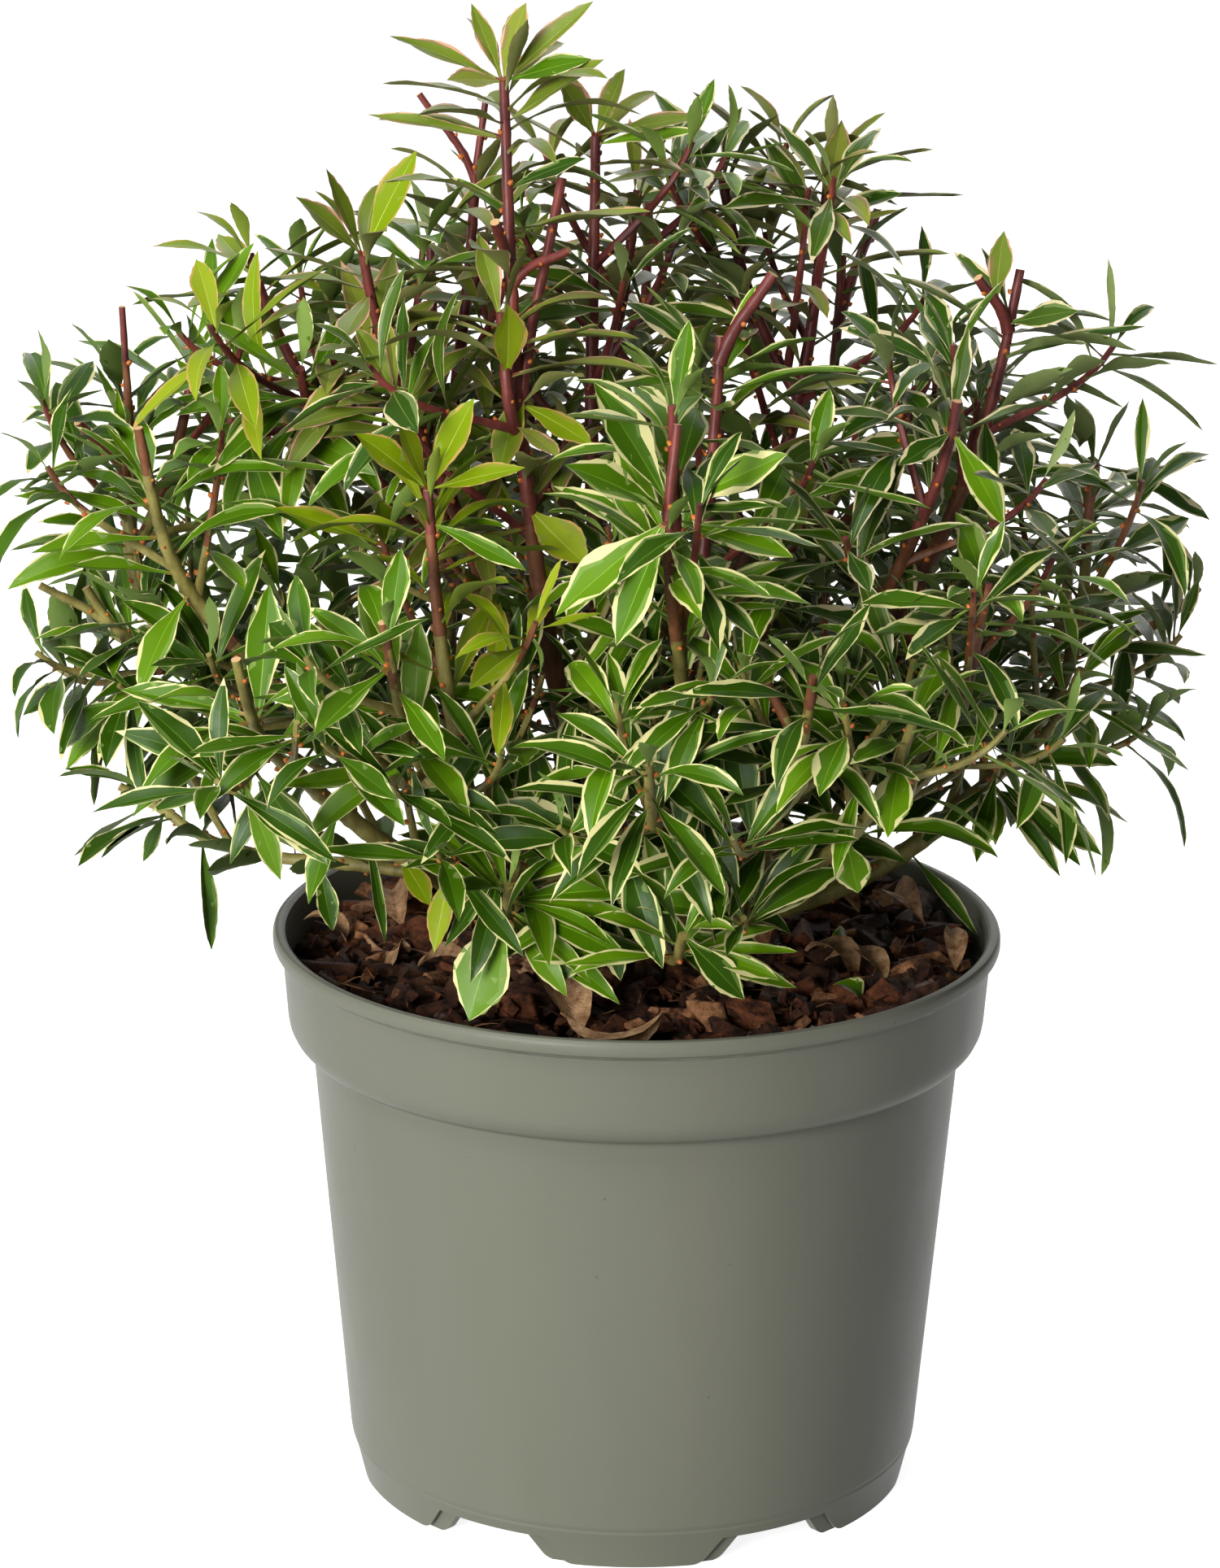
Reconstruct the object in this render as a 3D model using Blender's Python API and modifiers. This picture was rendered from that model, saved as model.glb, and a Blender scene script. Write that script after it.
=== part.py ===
"""A variegated pieris shrub in its round nursery pot.

The origin is on the pot's axis at the height of the floor, +Z is up, and the side that faces -Y is
the front.  Plant places are written in millimetres from that origin.
"""
import math
import random

import bmesh
import bpy
from mathutils import Matrix, Vector
from mathutils.bvhtree import BVHTree

# Driving dimensions of the pot, in metres
POT_HEIGHT = 0.150
LIP_RADIUS = 0.095
LIP_DEPTH = 0.0046
LIP_OVERHANG = 0.0024
COLLAR_DROP = 0.0293
COLLAR_TAPER = 0.0014
COLLAR_CORNER = 0.0060
BODY_TOP_RADIUS = 0.0851
SEAM_RADIUS = 0.0757
SEAM_HEIGHT = 0.0105
SKIRT_TAPER = 0.0018
WALL = 0.0014
FOOT_HEIGHT = 0.0073
FOOT_DEPTH = 0.0050
FOOT_COUNT = 6
FOOT_GAP_ANGLE = math.radians(16.5)
FOOT_GAP_SLOPE = math.radians(2.5)
FLOOR_THICKNESS = 0.0016
CENTRE_PAD_RADIUS = 0.0140
DRAIN_HOLE_RADIUS = 0.0045
DRAIN_HOLE_RING = 0.0560
POT_STEPS = 36

# Driving dimensions of the growing medium and the root crown, in metres
MEDIUM_TOP = 0.1400
MEDIUM_EDGE_DROP = 0.0028
MEDIUM_FLAT_RADIUS = 0.030
GAP = 0.0003
CROWN_PLACE = (-0.002, -0.004)
CROWN_FLARE_RADIUS = 0.0170
CROWN_NECK_RADIUS = 0.0105
CROWN_KNOB_RADIUS = 0.0110
CROWN_KNOB_HEIGHT = 0.0110
CROWN_LEAN = 0.0012
CROWN_REACH = 0.0165

# The crown's furthest reach from the pot's axis, in metres
CROWN_LEFT = -0.163
CROWN_RIGHT = 0.151
CROWN_DEPTH = 0.149

# Limbs: radii at base and end, in metres
BOUGH_SIDES = 6
TWIG_SIDES = 3
FORK_ANGLE = math.radians(44.0)
FORK_CLEARANCE = 0.0006
STRAIGHT_END = 0.0030
BOUGH_BENDS = 4
STEM_BENDS = 4
SHOOT_BENDS = 3
TWIG_BENDS = 2
BEND_PULL = 0.36
UPTURN = 0.9
STEM_BASE_RADIUS = 0.0021
STEM_TIP_RADIUS = 0.0013
TWIG_BASE_RADIUS = 0.0015
TWIG_TIP_RADIUS = 0.0010
GUARD = 0.0004
WELD = 0.0000002

# Leaves, in metres
LEAF_LENGTH = 0.041
LEAF_WIDTH = 0.0145
LEAF_THICKNESS = 0.0014
LEAF_WIDEST = 0.54
LEAF_ARCH = 0.10
LEAF_SINK = 0.0005
LEAF_STEP = 0.0110
WHORL_STEP = 0.0042
LEAF_TRIES = 7
LEAF_TRY_TURN = math.radians(29.0)
LEAF_TRY_SHRINK = 0.05
LEAF_SIZE_SPREAD = (0.88, 1.12)
TIP_LEAF_SIZE = 0.92
TIP_LEAN = (30.0, 52.0)
SIDE_LEAN = (52.0, 74.0)
TIP_LEAVES = 5
SHOOT_TIP_LEAVES = 3
TWIG_TIP_LEAVES = 2
STEM_LEAVES_FROM = 0.22
SHOOT_LEAVES_FROM = 0.45
TWIG_LEAVES_FROM = 0.55
SHOOT_FORK = 0.30
GOLDEN_ANGLE = math.radians(137.508)
SEED = 43

# Twigs that the rule adds to each stem: place along the stem, reach in metres
RULE_TWIGS = ((0.42, 0.030), (0.66, 0.024))
TWIG_FORWARD = 0.62
TWIG_OUTWARD = 0.78
TWIG_LIFT = 0.006

# Where a mass's space is centred, as a share of its stem's length
SPACE_CENTRE = 0.62

MM = 0.001

# Boughs that leave the root crown: azimuth and rise of the start in degrees, end, radii
CROWN_BOUGHS = {
    "leader_bough": (-128, 62, (-25, -38, 250), 3.0, 2.5),
    "middle_bough": (120, 74, (-12, 8, 262), 3.0, 2.3),
    "right_upright_bough": (-12, 38, (72, -18, 250), 3.4, 2.5),
    "right_low_bough": (12, -2, (104, 10, 202), 3.0, 2.1),
    "front_bough": (-78, 40, (10, -62, 222), 2.9, 2.2),
    "left_front_bough": (-146, 12, (-84, -52, 204), 3.1, 2.2),
    "left_upright_bough": (-176, 36, (-108, -26, 238), 3.0, 2.2),
    "back_left_bough": (139, 30, (-72, 68, 226), 2.9, 2.1),
    "back_bough": (93, 36, (-4, 84, 232), 2.9, 2.1),
    "back_right_bough": (48, 30, (72, 70, 224), 2.9, 2.1),
}

# Boughs that fork from another bough: parent, place along it, end, radii
SIDE_BOUGHS = {
    "right_crown_bough": ("middle_bough", 0.22, (34, 28, 258), 2.5, 2.1),
    "centre_bough": ("front_bough", 0.20, (14, -36, 244), 2.4, 2.1),
    "right_front_bough": ("right_upright_bough", 0.22, (70, -50, 204), 2.4, 2.0),
    "low_front_bough": ("front_bough", 0.05, (44, -68, 188), 2.4, 1.9),
    "left_lime_bough": ("left_front_bough", 0.20, (-44, -66, 214), 2.4, 2.0),
    "left_far_bough": ("left_upright_bough", 0.34, (-124, 2, 230), 2.3, 2.0),
    "left_high_bough": ("middle_bough", 0.38, (-66, 12, 262), 2.4, 2.1),
    "right_back_bough": ("back_right_bough", 0.24, (106, 50, 204), 2.3, 2.0),
    "left_back_bough": ("back_left_bough", 0.24, (-110, 50, 204), 2.3, 2.0),
}

# Masses of foliage: bough, place along it (1 is its tip), the main shoot's tip, further shoots' tips
MASSES = {
    "leader_foliage": ("leader_bough", 1.0, (-34, -25, 366), [(-34, -40, 312)]),
    "middle_top_foliage": ("middle_bough", 1.0, (-12, 18, 346), [(-2, 32, 330)]),
    "left_crown_foliage": ("left_high_bough", 0.72, (-43, 28, 336), []),
    "right_crown_foliage": ("right_crown_bough", 1.0, (48, 44, 336), [(22, 50, 332)]),
    "right_top_foliage": ("right_upright_bough", 1.0, (94, 0, 316), []),
    "right_middle_foliage": ("right_upright_bough", 0.74, (76, -44, 292), []),
    "right_inner_foliage": ("right_crown_bough", 0.62, (78, 36, 296), []),
    "right_far_foliage": ("right_low_bough", 1.0, (117, 20, 262), []),
    "right_low_foliage": ("right_low_bough", 0.70, (110, -18, 218), []),
    "right_front_foliage": ("right_front_bough", 1.0, (84, -52, 248), []),
    "low_right_foliage": ("low_front_bough", 1.0, (64, -86, 224), []),
    "front_right_foliage": ("low_front_bough", 0.66, (40, -100, 238), []),
    "centre_foliage": ("centre_bough", 1.0, (19, -28, 304), []),
    "rosette_foliage": ("front_bough", 1.0, (6, -94, 274), [(7, -90, 300)]),
    "low_rosette_foliage": ("front_bough", 0.60, (2, -114, 222), []),
    "front_foot_foliage": ("front_bough", 0.24, (10, -88, 172), []),
    "low_left_foliage": ("left_lime_bough", 0.20, (-32, -76, 180), []),
    "lime_foliage": ("left_lime_bough", 1.0, (-51, -68, 274), []),
    "lime_front_foliage": ("left_lime_bough", 0.62, (-60, -98, 250), []),
    "left_front_foliage": ("left_front_bough", 1.0, (-96, -80, 236), []),
    "left_bottom_foliage": ("left_front_bough", 0.52, (-124, -12, 186), []),
    "left_slope_foliage": ("left_upright_bough", 1.0, (-122, -44, 284), []),
    "left_outer_foliage": ("left_far_bough", 0.58, (-138, -4, 234), []),
    "left_far_foliage": ("left_far_bough", 1.0, (-130, 4, 280), [(-116, 20, 288)]),
    "left_upper_foliage": ("left_high_bough", 1.0, (-98, 16, 316), [(-84, -22, 296)]),
    "left_top_foliage": ("left_high_bough", 0.50, (-68, -18, 322), []),
    "back_left_foliage": ("back_left_bough", 1.0, (-96, 86, 262), []),
    "back_left_top_foliage": ("back_left_bough", 0.66, (-56, 76, 308), []),
    "back_foliage": ("back_bough", 1.0, (-8, 114, 264), []),
    "back_top_foliage": ("back_bough", 0.60, (2, 84, 318), []),
    "back_low_left_foliage": ("back_bough", 0.80, (-50, 110, 224), []),
    "back_low_right_foliage": ("back_bough", 0.44, (48, 110, 222), []),
    "back_right_foliage": ("back_right_bough", 1.0, (92, 86, 262), []),
    "back_right_top_foliage": ("back_right_bough", 0.60, (54, 84, 304), []),
    "right_back_foliage": ("right_back_bough", 1.0, (116, 56, 238), []),
    "left_back_foliage": ("left_back_bough", 1.0, (-124, 54, 236), []),
}


def clear_scene():
    for old in list(bpy.data.objects):
        bpy.data.objects.remove(old, do_unlink=True)


def new_collection(name):
    made = bpy.data.collections.new(name)
    bpy.context.scene.collection.children.link(made)
    return made


def make_material(name, colour, roughness):
    made = bpy.data.materials.new(name)
    made.use_nodes = True
    shader = made.node_tree.nodes["Principled BSDF"]
    shader.inputs["Base Color"].default_value = (*colour, 1.0)
    shader.inputs["Roughness"].default_value = roughness
    shader.inputs["Metallic"].default_value = 0.0
    made.diffuse_color = (*colour, 1.0)
    return made


def add_object(name, data, collection, finish=None):
    made = bpy.data.objects.new(name, data)
    collection.objects.link(made)
    if finish:
        data.materials.append(finish)
    return made


def mesh_from(name, bm, collection, finish=None):
    """A bmesh becomes an object, and the bmesh is freed."""
    data = bpy.data.meshes.new(name)
    bm.to_mesh(data)
    bm.free()
    return add_object(name, data, collection, finish)


def as_guide(obj):
    obj.hide_render = True
    obj.display_type = "WIRE"
    return obj


def shade_round(obj, angle=35.0):
    obj.data.shade_smooth()
    obj.data.set_sharp_from_angle(angle=math.radians(angle))


def evaluated_mesh(obj):
    """The object's mesh with its modifiers, or its curve's surface, in world space."""
    graph = bpy.context.evaluated_depsgraph_get()
    graph.update()
    data = bpy.data.meshes.new_from_object(obj.evaluated_get(graph))
    data.transform(obj.matrix_world)
    return data


def finish_modifiers(obj):
    """The evaluated mesh takes the place of the object's own, and the modifiers go."""
    data = evaluated_mesh(obj)
    obj.modifiers.clear()
    obj.data = data
    return obj


def apply_boolean(obj, operation, collection, solver="EXACT"):
    """One Boolean with a whole collection, applied, after which the collection's objects go."""
    cut = obj.modifiers.new(operation.title(), "BOOLEAN")
    cut.operation = operation
    cut.solver = solver
    cut.operand_type = "COLLECTION"
    cut.collection = collection
    finish_modifiers(obj)
    for used in list(collection.objects):
        bpy.data.objects.remove(used, do_unlink=True)
    return obj


def turned(name, profile, collection, finish):
    """A closed body of revolution from a profile of (radius, height) that ends on the axis."""
    bm = bmesh.new()
    ring = [bm.verts.new((radius, 0.0, height)) for radius, height in profile]
    for first, second in zip(ring, ring[1:]):
        bm.edges.new((first, second))
    obj = mesh_from(name, bm, collection, finish)
    screw = obj.modifiers.new("Turn", "SCREW")
    screw.angle = 2.0 * math.pi
    screw.steps = POT_STEPS
    screw.render_steps = POT_STEPS
    screw.use_merge_vertices = True
    screw.merge_threshold = 0.00001
    return obj


def corner_arc(centre, radius, start, end, count):
    """Points of an arc in the (radius, height) plane, angles in degrees."""
    points = []
    for step in range(count + 1):
        turn = math.radians(start + (end - start) * step / count)
        points.append((centre[0] + radius * math.cos(turn), centre[1] + radius * math.sin(turn)))
    return points


def pot_profile():
    """Inner floor, inner wall, lip, collar, body, seam, skirt and foot, then the centre pad."""
    floor_top = FOOT_HEIGHT + FLOOR_THICKNESS
    collar_foot = POT_HEIGHT - COLLAR_DROP
    collar_top_radius = LIP_RADIUS - LIP_OVERHANG
    collar_foot_radius = collar_top_radius - COLLAR_TAPER
    inside = [
        (0.0, floor_top),
        (SEAM_RADIUS - WALL, floor_top),
        (BODY_TOP_RADIUS - WALL, collar_foot - WALL),
        (collar_foot_radius - COLLAR_CORNER, collar_foot + WALL),
        (collar_foot_radius - WALL, collar_foot + COLLAR_CORNER),
        (collar_top_radius - WALL, POT_HEIGHT - LIP_DEPTH),
        (collar_top_radius - WALL / 2, POT_HEIGHT - WALL / 2),
    ]
    lip = [
        (collar_top_radius, POT_HEIGHT),
        (LIP_RADIUS - WALL / 2, POT_HEIGHT),
        (LIP_RADIUS, POT_HEIGHT - WALL / 2),
        (LIP_RADIUS, POT_HEIGHT - LIP_DEPTH + WALL / 2),
        (collar_top_radius, POT_HEIGHT - LIP_DEPTH),
    ]
    corner_centre = (collar_foot_radius - COLLAR_CORNER, collar_foot + COLLAR_CORNER)
    collar = corner_arc(corner_centre, COLLAR_CORNER, 0.0, -90.0, 3)
    body = [
        (BODY_TOP_RADIUS, collar_foot - WALL / 4),
        (SEAM_RADIUS, SEAM_HEIGHT + WALL / 4),
        (SEAM_RADIUS - WALL / 3, SEAM_HEIGHT - WALL / 4),
    ]
    foot_radius = SEAM_RADIUS - WALL / 3 - SKIRT_TAPER
    foot = [
        (foot_radius, WALL / 2),
        (foot_radius - WALL / 2, 0.0),
        (foot_radius - FOOT_DEPTH, 0.0),
        (foot_radius - FOOT_DEPTH, FOOT_HEIGHT),
        (CENTRE_PAD_RADIUS, FOOT_HEIGHT),
        (CENTRE_PAD_RADIUS, 0.0),
        (0.0, 0.0),
    ]
    return inside + lip + collar + body + foot


def foot_gap_cutter(index, collection):
    """A wedge, wider below, that parts two feet."""
    bm = bmesh.new()
    bmesh.ops.create_cube(bm, size=1.0)
    middle = SEAM_RADIUS - FOOT_DEPTH / 2
    top_half = middle * math.tan(FOOT_GAP_ANGLE / 2 - FOOT_GAP_SLOPE / 2)
    foot_half = middle * math.tan(FOOT_GAP_ANGLE / 2 + FOOT_GAP_SLOPE / 2)
    depth = 3.0 * FOOT_DEPTH
    below = FOOT_HEIGHT / 4
    for vert in bm.verts:
        high = vert.co.z > 0.0
        half = top_half if high else foot_half
        vert.co.x = middle + depth * vert.co.x
        vert.co.y = 2.0 * half * vert.co.y
        vert.co.z = FOOT_HEIGHT if high else -below
    turn = math.radians(-90.0) + 2.0 * math.pi * (index + 0.5) / FOOT_COUNT
    bmesh.ops.rotate(bm, verts=bm.verts, matrix=Matrix.Rotation(turn, 3, "Z"))
    return as_guide(mesh_from(f"foot_gap_{index}", bm, collection))


def drain_hole_cutter(index, collection):
    bm = bmesh.new()
    turn = math.radians(-90.0) + 2.0 * math.pi * (index + 0.5) / FOOT_COUNT
    place = Matrix.Rotation(turn, 4, "Z") @ Matrix.Translation((DRAIN_HOLE_RING, 0.0, FOOT_HEIGHT))
    bmesh.ops.create_cone(bm, cap_ends=True, segments=8, radius1=DRAIN_HOLE_RADIUS,
                          radius2=DRAIN_HOLE_RADIUS, depth=4.0 * FLOOR_THICKNESS, matrix=place)
    return as_guide(mesh_from(f"drain_hole_{index}", bm, collection))


def make_pot(parts, cutters, finish):
    pot = turned("pot", pot_profile(), parts, finish)
    for index in range(FOOT_COUNT):
        foot_gap_cutter(index, cutters)
        drain_hole_cutter(index, cutters)
    apply_boolean(pot, "DIFFERENCE", cutters)
    tidy_mesh(pot)
    shade_round(pot)
    return pot


def make_medium(parts, finish):
    """The bark-topped growing medium fills the pot, 0.3 mm clear of its wall and floor."""
    collar_foot = POT_HEIGHT - COLLAR_DROP
    collar_inside = LIP_RADIUS - LIP_OVERHANG - COLLAR_TAPER - WALL
    profile = [
        (0.0, MEDIUM_TOP),
        (MEDIUM_FLAT_RADIUS, MEDIUM_TOP),
        (0.7 * LIP_RADIUS, MEDIUM_TOP - 0.3 * MEDIUM_EDGE_DROP),
        (collar_inside - GAP, MEDIUM_TOP - MEDIUM_EDGE_DROP),
        (collar_inside - 2.0 * GAP, collar_foot + COLLAR_CORNER + GAP),
        (collar_inside + WALL - COLLAR_CORNER - 3.0 * GAP, collar_foot + WALL + 2.0 * GAP),
        (BODY_TOP_RADIUS - WALL - 2.0 * GAP, collar_foot - WALL),
        (SEAM_RADIUS - WALL - 2.0 * GAP, FOOT_HEIGHT + FLOOR_THICKNESS + GAP),
        (0.0, FOOT_HEIGHT + FLOOR_THICKNESS + GAP),
    ]
    medium = turned("growing_medium", profile, parts, finish)
    finish_modifiers(medium)
    shade_round(medium)
    return medium


def cubic_point(points, t):
    first, second, third, last = points
    near = (1.0 - t) ** 3 * first + 3.0 * (1.0 - t) ** 2 * t * second
    return near + 3.0 * (1.0 - t) * t ** 2 * third + t ** 3 * last


def limb_path(start, start_way, end, end_way, bends, straight_end=True):
    """A limb's points: straight out of its seat, one smooth bend, and straight at its end."""
    leave = start + STRAIGHT_END * start_way
    arrive = end - STRAIGHT_END * end_way if straight_end else end
    pull = BEND_PULL * (arrive - leave).length
    guide = (leave, leave + pull * start_way, arrive - pull * end_way, arrive)
    points = [start]
    points += [cubic_point(guide, step / bends) for step in range(bends + 1)]
    if straight_end:
        points.append(end)
    return points


def place_on(path, share):
    """The point and the direction at a share of a path's length."""
    lengths = [(b - a).length for a, b in zip(path, path[1:])]
    left = share * sum(lengths)
    for (a, b), length in zip(zip(path, path[1:]), lengths):
        if left <= length:
            return a.lerp(b, left / length), (b - a).normalized()
        left -= length
    return path[-1], (path[-1] - path[-2]).normalized()


def radius_on(radii, share):
    return radii[0] + (radii[1] - radii[0]) * share


def way_from_angles(azimuth, rise):
    azimuth, rise = math.radians(azimuth), math.radians(rise)
    flat = math.cos(rise)
    return Vector((flat * math.cos(azimuth), flat * math.sin(azimuth), math.sin(rise)))


def fork_way(tangent, target):
    """The way of a side limb: the fork angle off its parent, turned towards its target."""
    side = target - target.dot(tangent) * tangent
    side.normalize()
    return math.cos(FORK_ANGLE) * tangent + math.sin(FORK_ANGLE) * side


def fork_length(parent_radius, radius):
    """How far a side limb's stub runs from the parent's axis before its own solid can begin."""
    clear = parent_radius + FORK_CLEARANCE + radius * math.cos(FORK_ANGLE)
    return clear / math.sin(FORK_ANGLE)


def end_way_for(start, end, tip):
    """A bough points half along itself and half to the tip that its foliage grows to."""
    return ((end - start).normalized() + (tip - end).normalized()).normalized()


def shoot_end_way(start, tip):
    """A shoot turns up at its tip."""
    return ((tip - start).normalized() + Vector((0.0, 0.0, UPTURN))).normalized()


def plan_limbs():
    """Paths, radii and stubs of all boughs, from the root crown outwards."""
    knob = Vector((*CROWN_PLACE, MEDIUM_TOP + GAP + CROWN_KNOB_HEIGHT))
    tips = {bough: Vector(tip) * MM for bough, share, tip, more in MASSES.values() if share == 1.0}
    limbs = {}
    stubs = {"root_crown": []}
    for name, (azimuth, rise, end, base, last) in CROWN_BOUGHS.items():
        way = way_from_angles(azimuth, rise)
        end = Vector(end) * MM
        seat = knob + CROWN_REACH * way
        start = seat + GAP * way
        path = limb_path(start, way, end, end_way_for(start, end, tips[name]), BOUGH_BENDS)
        limbs[name] = (path, (base * MM, last * MM))
        stubs["root_crown"].append((knob, seat, base * MM))
        stubs[name] = []
    for name, (parent, share, end, base, last) in SIDE_BOUGHS.items():
        end = Vector(end) * MM
        start, way = seat_on(limbs, stubs, parent, share, end, base * MM)
        path = limb_path(start, way, end, end_way_for(start, end, tips[name]), BOUGH_BENDS)
        limbs[name] = (path, (base * MM, last * MM))
        stubs[name] = []
    return limbs, stubs


def seat_on(limbs, stubs, parent, share, target, radius):
    """A seat for a side limb: a stub on the parent, and where the side limb starts."""
    path, radii = limbs[parent]
    if share >= 1.0:
        way = (path[-1] - path[-2]).normalized()
        return path[-1] + GAP * way, way
    fork, tangent = place_on(path, share)
    way = fork_way(tangent, target - fork)
    seat = fork + fork_length(radius_on(radii, share), radius) * way
    stubs[parent].append((fork, seat, radius))
    return seat + GAP * way, way


def plan_stems(limbs, stubs):
    """Each mass's shoots as paths: its stem first, then the shoots that fork from the stem."""
    stems = {}
    for name, (parent, share, tip, more) in MASSES.items():
        tip = Vector(tip) * MM
        start, way = seat_on(limbs, stubs, parent, share, tip, STEM_BASE_RADIUS)
        main = limb_path(start, way, tip, shoot_end_way(start, tip), STEM_BENDS, False)
        shoots = [(main, (STEM_BASE_RADIUS, STEM_TIP_RADIUS))]
        for further in more:
            further = Vector(further) * MM
            fork, tangent = place_on(main, SHOOT_FORK)
            aim = fork_way(tangent, further - fork)
            path = limb_path(fork, aim, further, shoot_end_way(fork, further), SHOOT_BENDS, False)
            shoots.append((path, (TWIG_BASE_RADIUS, STEM_TIP_RADIUS)))
        stems[name] = shoots
    return stems


def outline_curve(name, sides, collection):
    """The closed outline, of unit radius, that a limb's curve carries along."""
    data = bpy.data.curves.new(name, "CURVE")
    data.dimensions = "2D"
    spline = data.splines.new("POLY")
    spline.points.add(sides - 1)
    for index, point in enumerate(spline.points):
        turn = 2.0 * math.pi * index / sides
        point.co = (math.cos(turn), math.sin(turn), 0.0, 1.0)
    spline.use_cyclic_u = True
    return as_guide(add_object(name, data, collection))


def limb_mesh(name, path, radii, outline, collection, finish=None):
    """A tapering limb: a poly curve that carries the outline, made a mesh with welded caps."""
    data = bpy.data.curves.new(name, "CURVE")
    data.dimensions = "3D"
    data.bevel_mode = "OBJECT"
    data.bevel_object = outline
    data.use_fill_caps = True
    spline = data.splines.new("POLY")
    spline.points.add(len(path) - 1)
    lengths = [0.0]
    for a, b in zip(path, path[1:]):
        lengths.append(lengths[-1] + (b - a).length)
    for point, place, run in zip(spline.points, path, lengths):
        point.co = (*place, 1.0)
        point.radius = radius_on(radii, run / lengths[-1])
    curve = add_object(name + "_curve", data, collection)
    bm = bmesh.new()
    bm.from_mesh(evaluated_mesh(curve))
    bpy.data.objects.remove(curve, do_unlink=True)
    bmesh.ops.remove_doubles(bm, verts=bm.verts, dist=0.00001)
    bmesh.ops.triangulate(bm, faces=bm.faces)
    bmesh.ops.recalc_face_normals(bm, faces=bm.faces)
    return mesh_from(name, bm, collection, finish)


def make_root_crown(parts, cutters, outline, seats, finish):
    """The short stem at the mulch: a root flare, a leaning neck and a knob with its forks."""
    ground = MEDIUM_TOP + GAP
    bm = bmesh.new()
    foot = Matrix.Translation((*CROWN_PLACE, ground + CROWN_KNOB_HEIGHT / 2))
    made = bmesh.ops.create_cone(bm, cap_ends=True, segments=12, radius1=CROWN_FLARE_RADIUS,
                                 radius2=CROWN_NECK_RADIUS, depth=CROWN_KNOB_HEIGHT, matrix=foot)
    for vert in made["verts"]:
        if vert.co.z > ground + CROWN_KNOB_HEIGHT / 2:
            vert.co.x += CROWN_LEAN
    crown = mesh_from("root_crown", bm, parts, finish)
    bm = bmesh.new()
    knob = Matrix.Translation((*CROWN_PLACE, ground + CROWN_KNOB_HEIGHT))
    bmesh.ops.create_icosphere(bm, subdivisions=2, radius=CROWN_KNOB_RADIUS, matrix=knob)
    mesh_from("crown_knob", bm, cutters)
    for index, (start, seat, radius) in enumerate(seats):
        limb_mesh(f"crown_fork_{index}", [start, seat], (radius, radius), outline, cutters)
    apply_boolean(crown, "UNION", cutters, "MANIFOLD")
    tidy_mesh(crown)
    shade_round(crown)
    return crown


def make_bough(name, limb, seats, outline, parts, cutters, finish):
    """One tapering limb with a short stub for each limb or stem that leaves its side."""
    path, radii = limb
    bough = limb_mesh(name, path, radii, outline, parts, finish)
    for index, (start, seat, radius) in enumerate(seats):
        limb_mesh(f"{name}_fork_{index}", [start, seat], (radius, radius), outline, cutters)
    if seats:
        apply_boolean(bough, "UNION", cutters, "MANIFOLD")
        tidy_mesh(bough)
    shade_round(bough)
    return bough


def guard_tree(limbs):
    """A tree of slightly fattened limbs, for asking whether something would touch them."""
    bm = bmesh.new()
    for path, radii in limbs:
        radius = max(radii) + GUARD
        for a, b in zip(path, path[1:]):
            run = b - a
            place = Matrix.Translation((a + b) / 2) @ run.to_track_quat("Z", "Y").to_matrix().to_4x4()
            bmesh.ops.create_cone(bm, cap_ends=True, segments=6, radius1=radius, radius2=radius,
                                  depth=run.length + 2.0 * GUARD, matrix=place)
    tree = BVHTree.FromBMesh(bm)
    bm.free()
    return tree


def leaf_bmesh(root, way, up, length, width):
    """One flat leaf of eight faces: a sphere of four sides drawn out and arched along its way."""
    bm = bmesh.new()
    bmesh.ops.create_uvsphere(bm, u_segments=4, v_segments=2, radius=1.0)
    side = way.cross(up).normalized()
    top = side.cross(way).normalized()
    for vert in bm.verts:
        if vert.co.z > 0.5:
            along, lift = 1.0, -LEAF_ARCH
        elif vert.co.z < -0.5:
            along, lift = 0.0, 0.0
        else:
            along, lift = LEAF_WIDEST, LEAF_ARCH
        across = 0.5 * width * vert.co.x
        thick = 0.5 * LEAF_THICKNESS * vert.co.y
        place = root + way * (along * length - LEAF_SINK) + top * (lift * length + thick)
        vert.co = place + side * across
    bmesh.ops.triangulate(bm, faces=bm.faces)
    bmesh.ops.recalc_face_normals(bm, faces=bm.faces)
    return bm


def stays_home(points, centre, others):
    """True where every point is nearer this mass's centre than any other, with room between."""
    for other in others:
        away = other - centre
        half = away.length / 2 - GAP
        away.normalize()
        if any((point - centre).dot(away) > half for point in points):
            return False
    return True


def in_reach(point):
    """True inside the crown's furthest reach to each side."""
    return CROWN_LEFT < point.x < CROWN_RIGHT and abs(point.y) < CROWN_DEPTH


def fits(bm, centre, others, trees):
    """The piece's own tree if it stays in its mass's space and touches no tree, else None."""
    places = [vert.co for vert in bm.verts]
    if not all(in_reach(place) for place in places) or not stays_home(places, centre, others):
        return None
    own = BVHTree.FromBMesh(bm)
    return None if any(own.overlap(tree) for tree in trees) else own


def leaf_slots(path, first_share, tip_leaves):
    """Where leaves stand on a shoot: a spiral along it, and a close whorl below its tip."""
    run = sum((b - a).length for a, b in zip(path, path[1:]))
    whorl = tip_leaves * WHORL_STEP / run
    along = max(1, round((1.0 - whorl - first_share) * run / LEAF_STEP))
    slots = [(1.0 - (step + 0.15) * WHORL_STEP / run, True) for step in range(tip_leaves)]
    slots += [(first_share + (1.0 - whorl - first_share) * step / along, False)
              for step in reversed(range(along))]
    return slots


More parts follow.
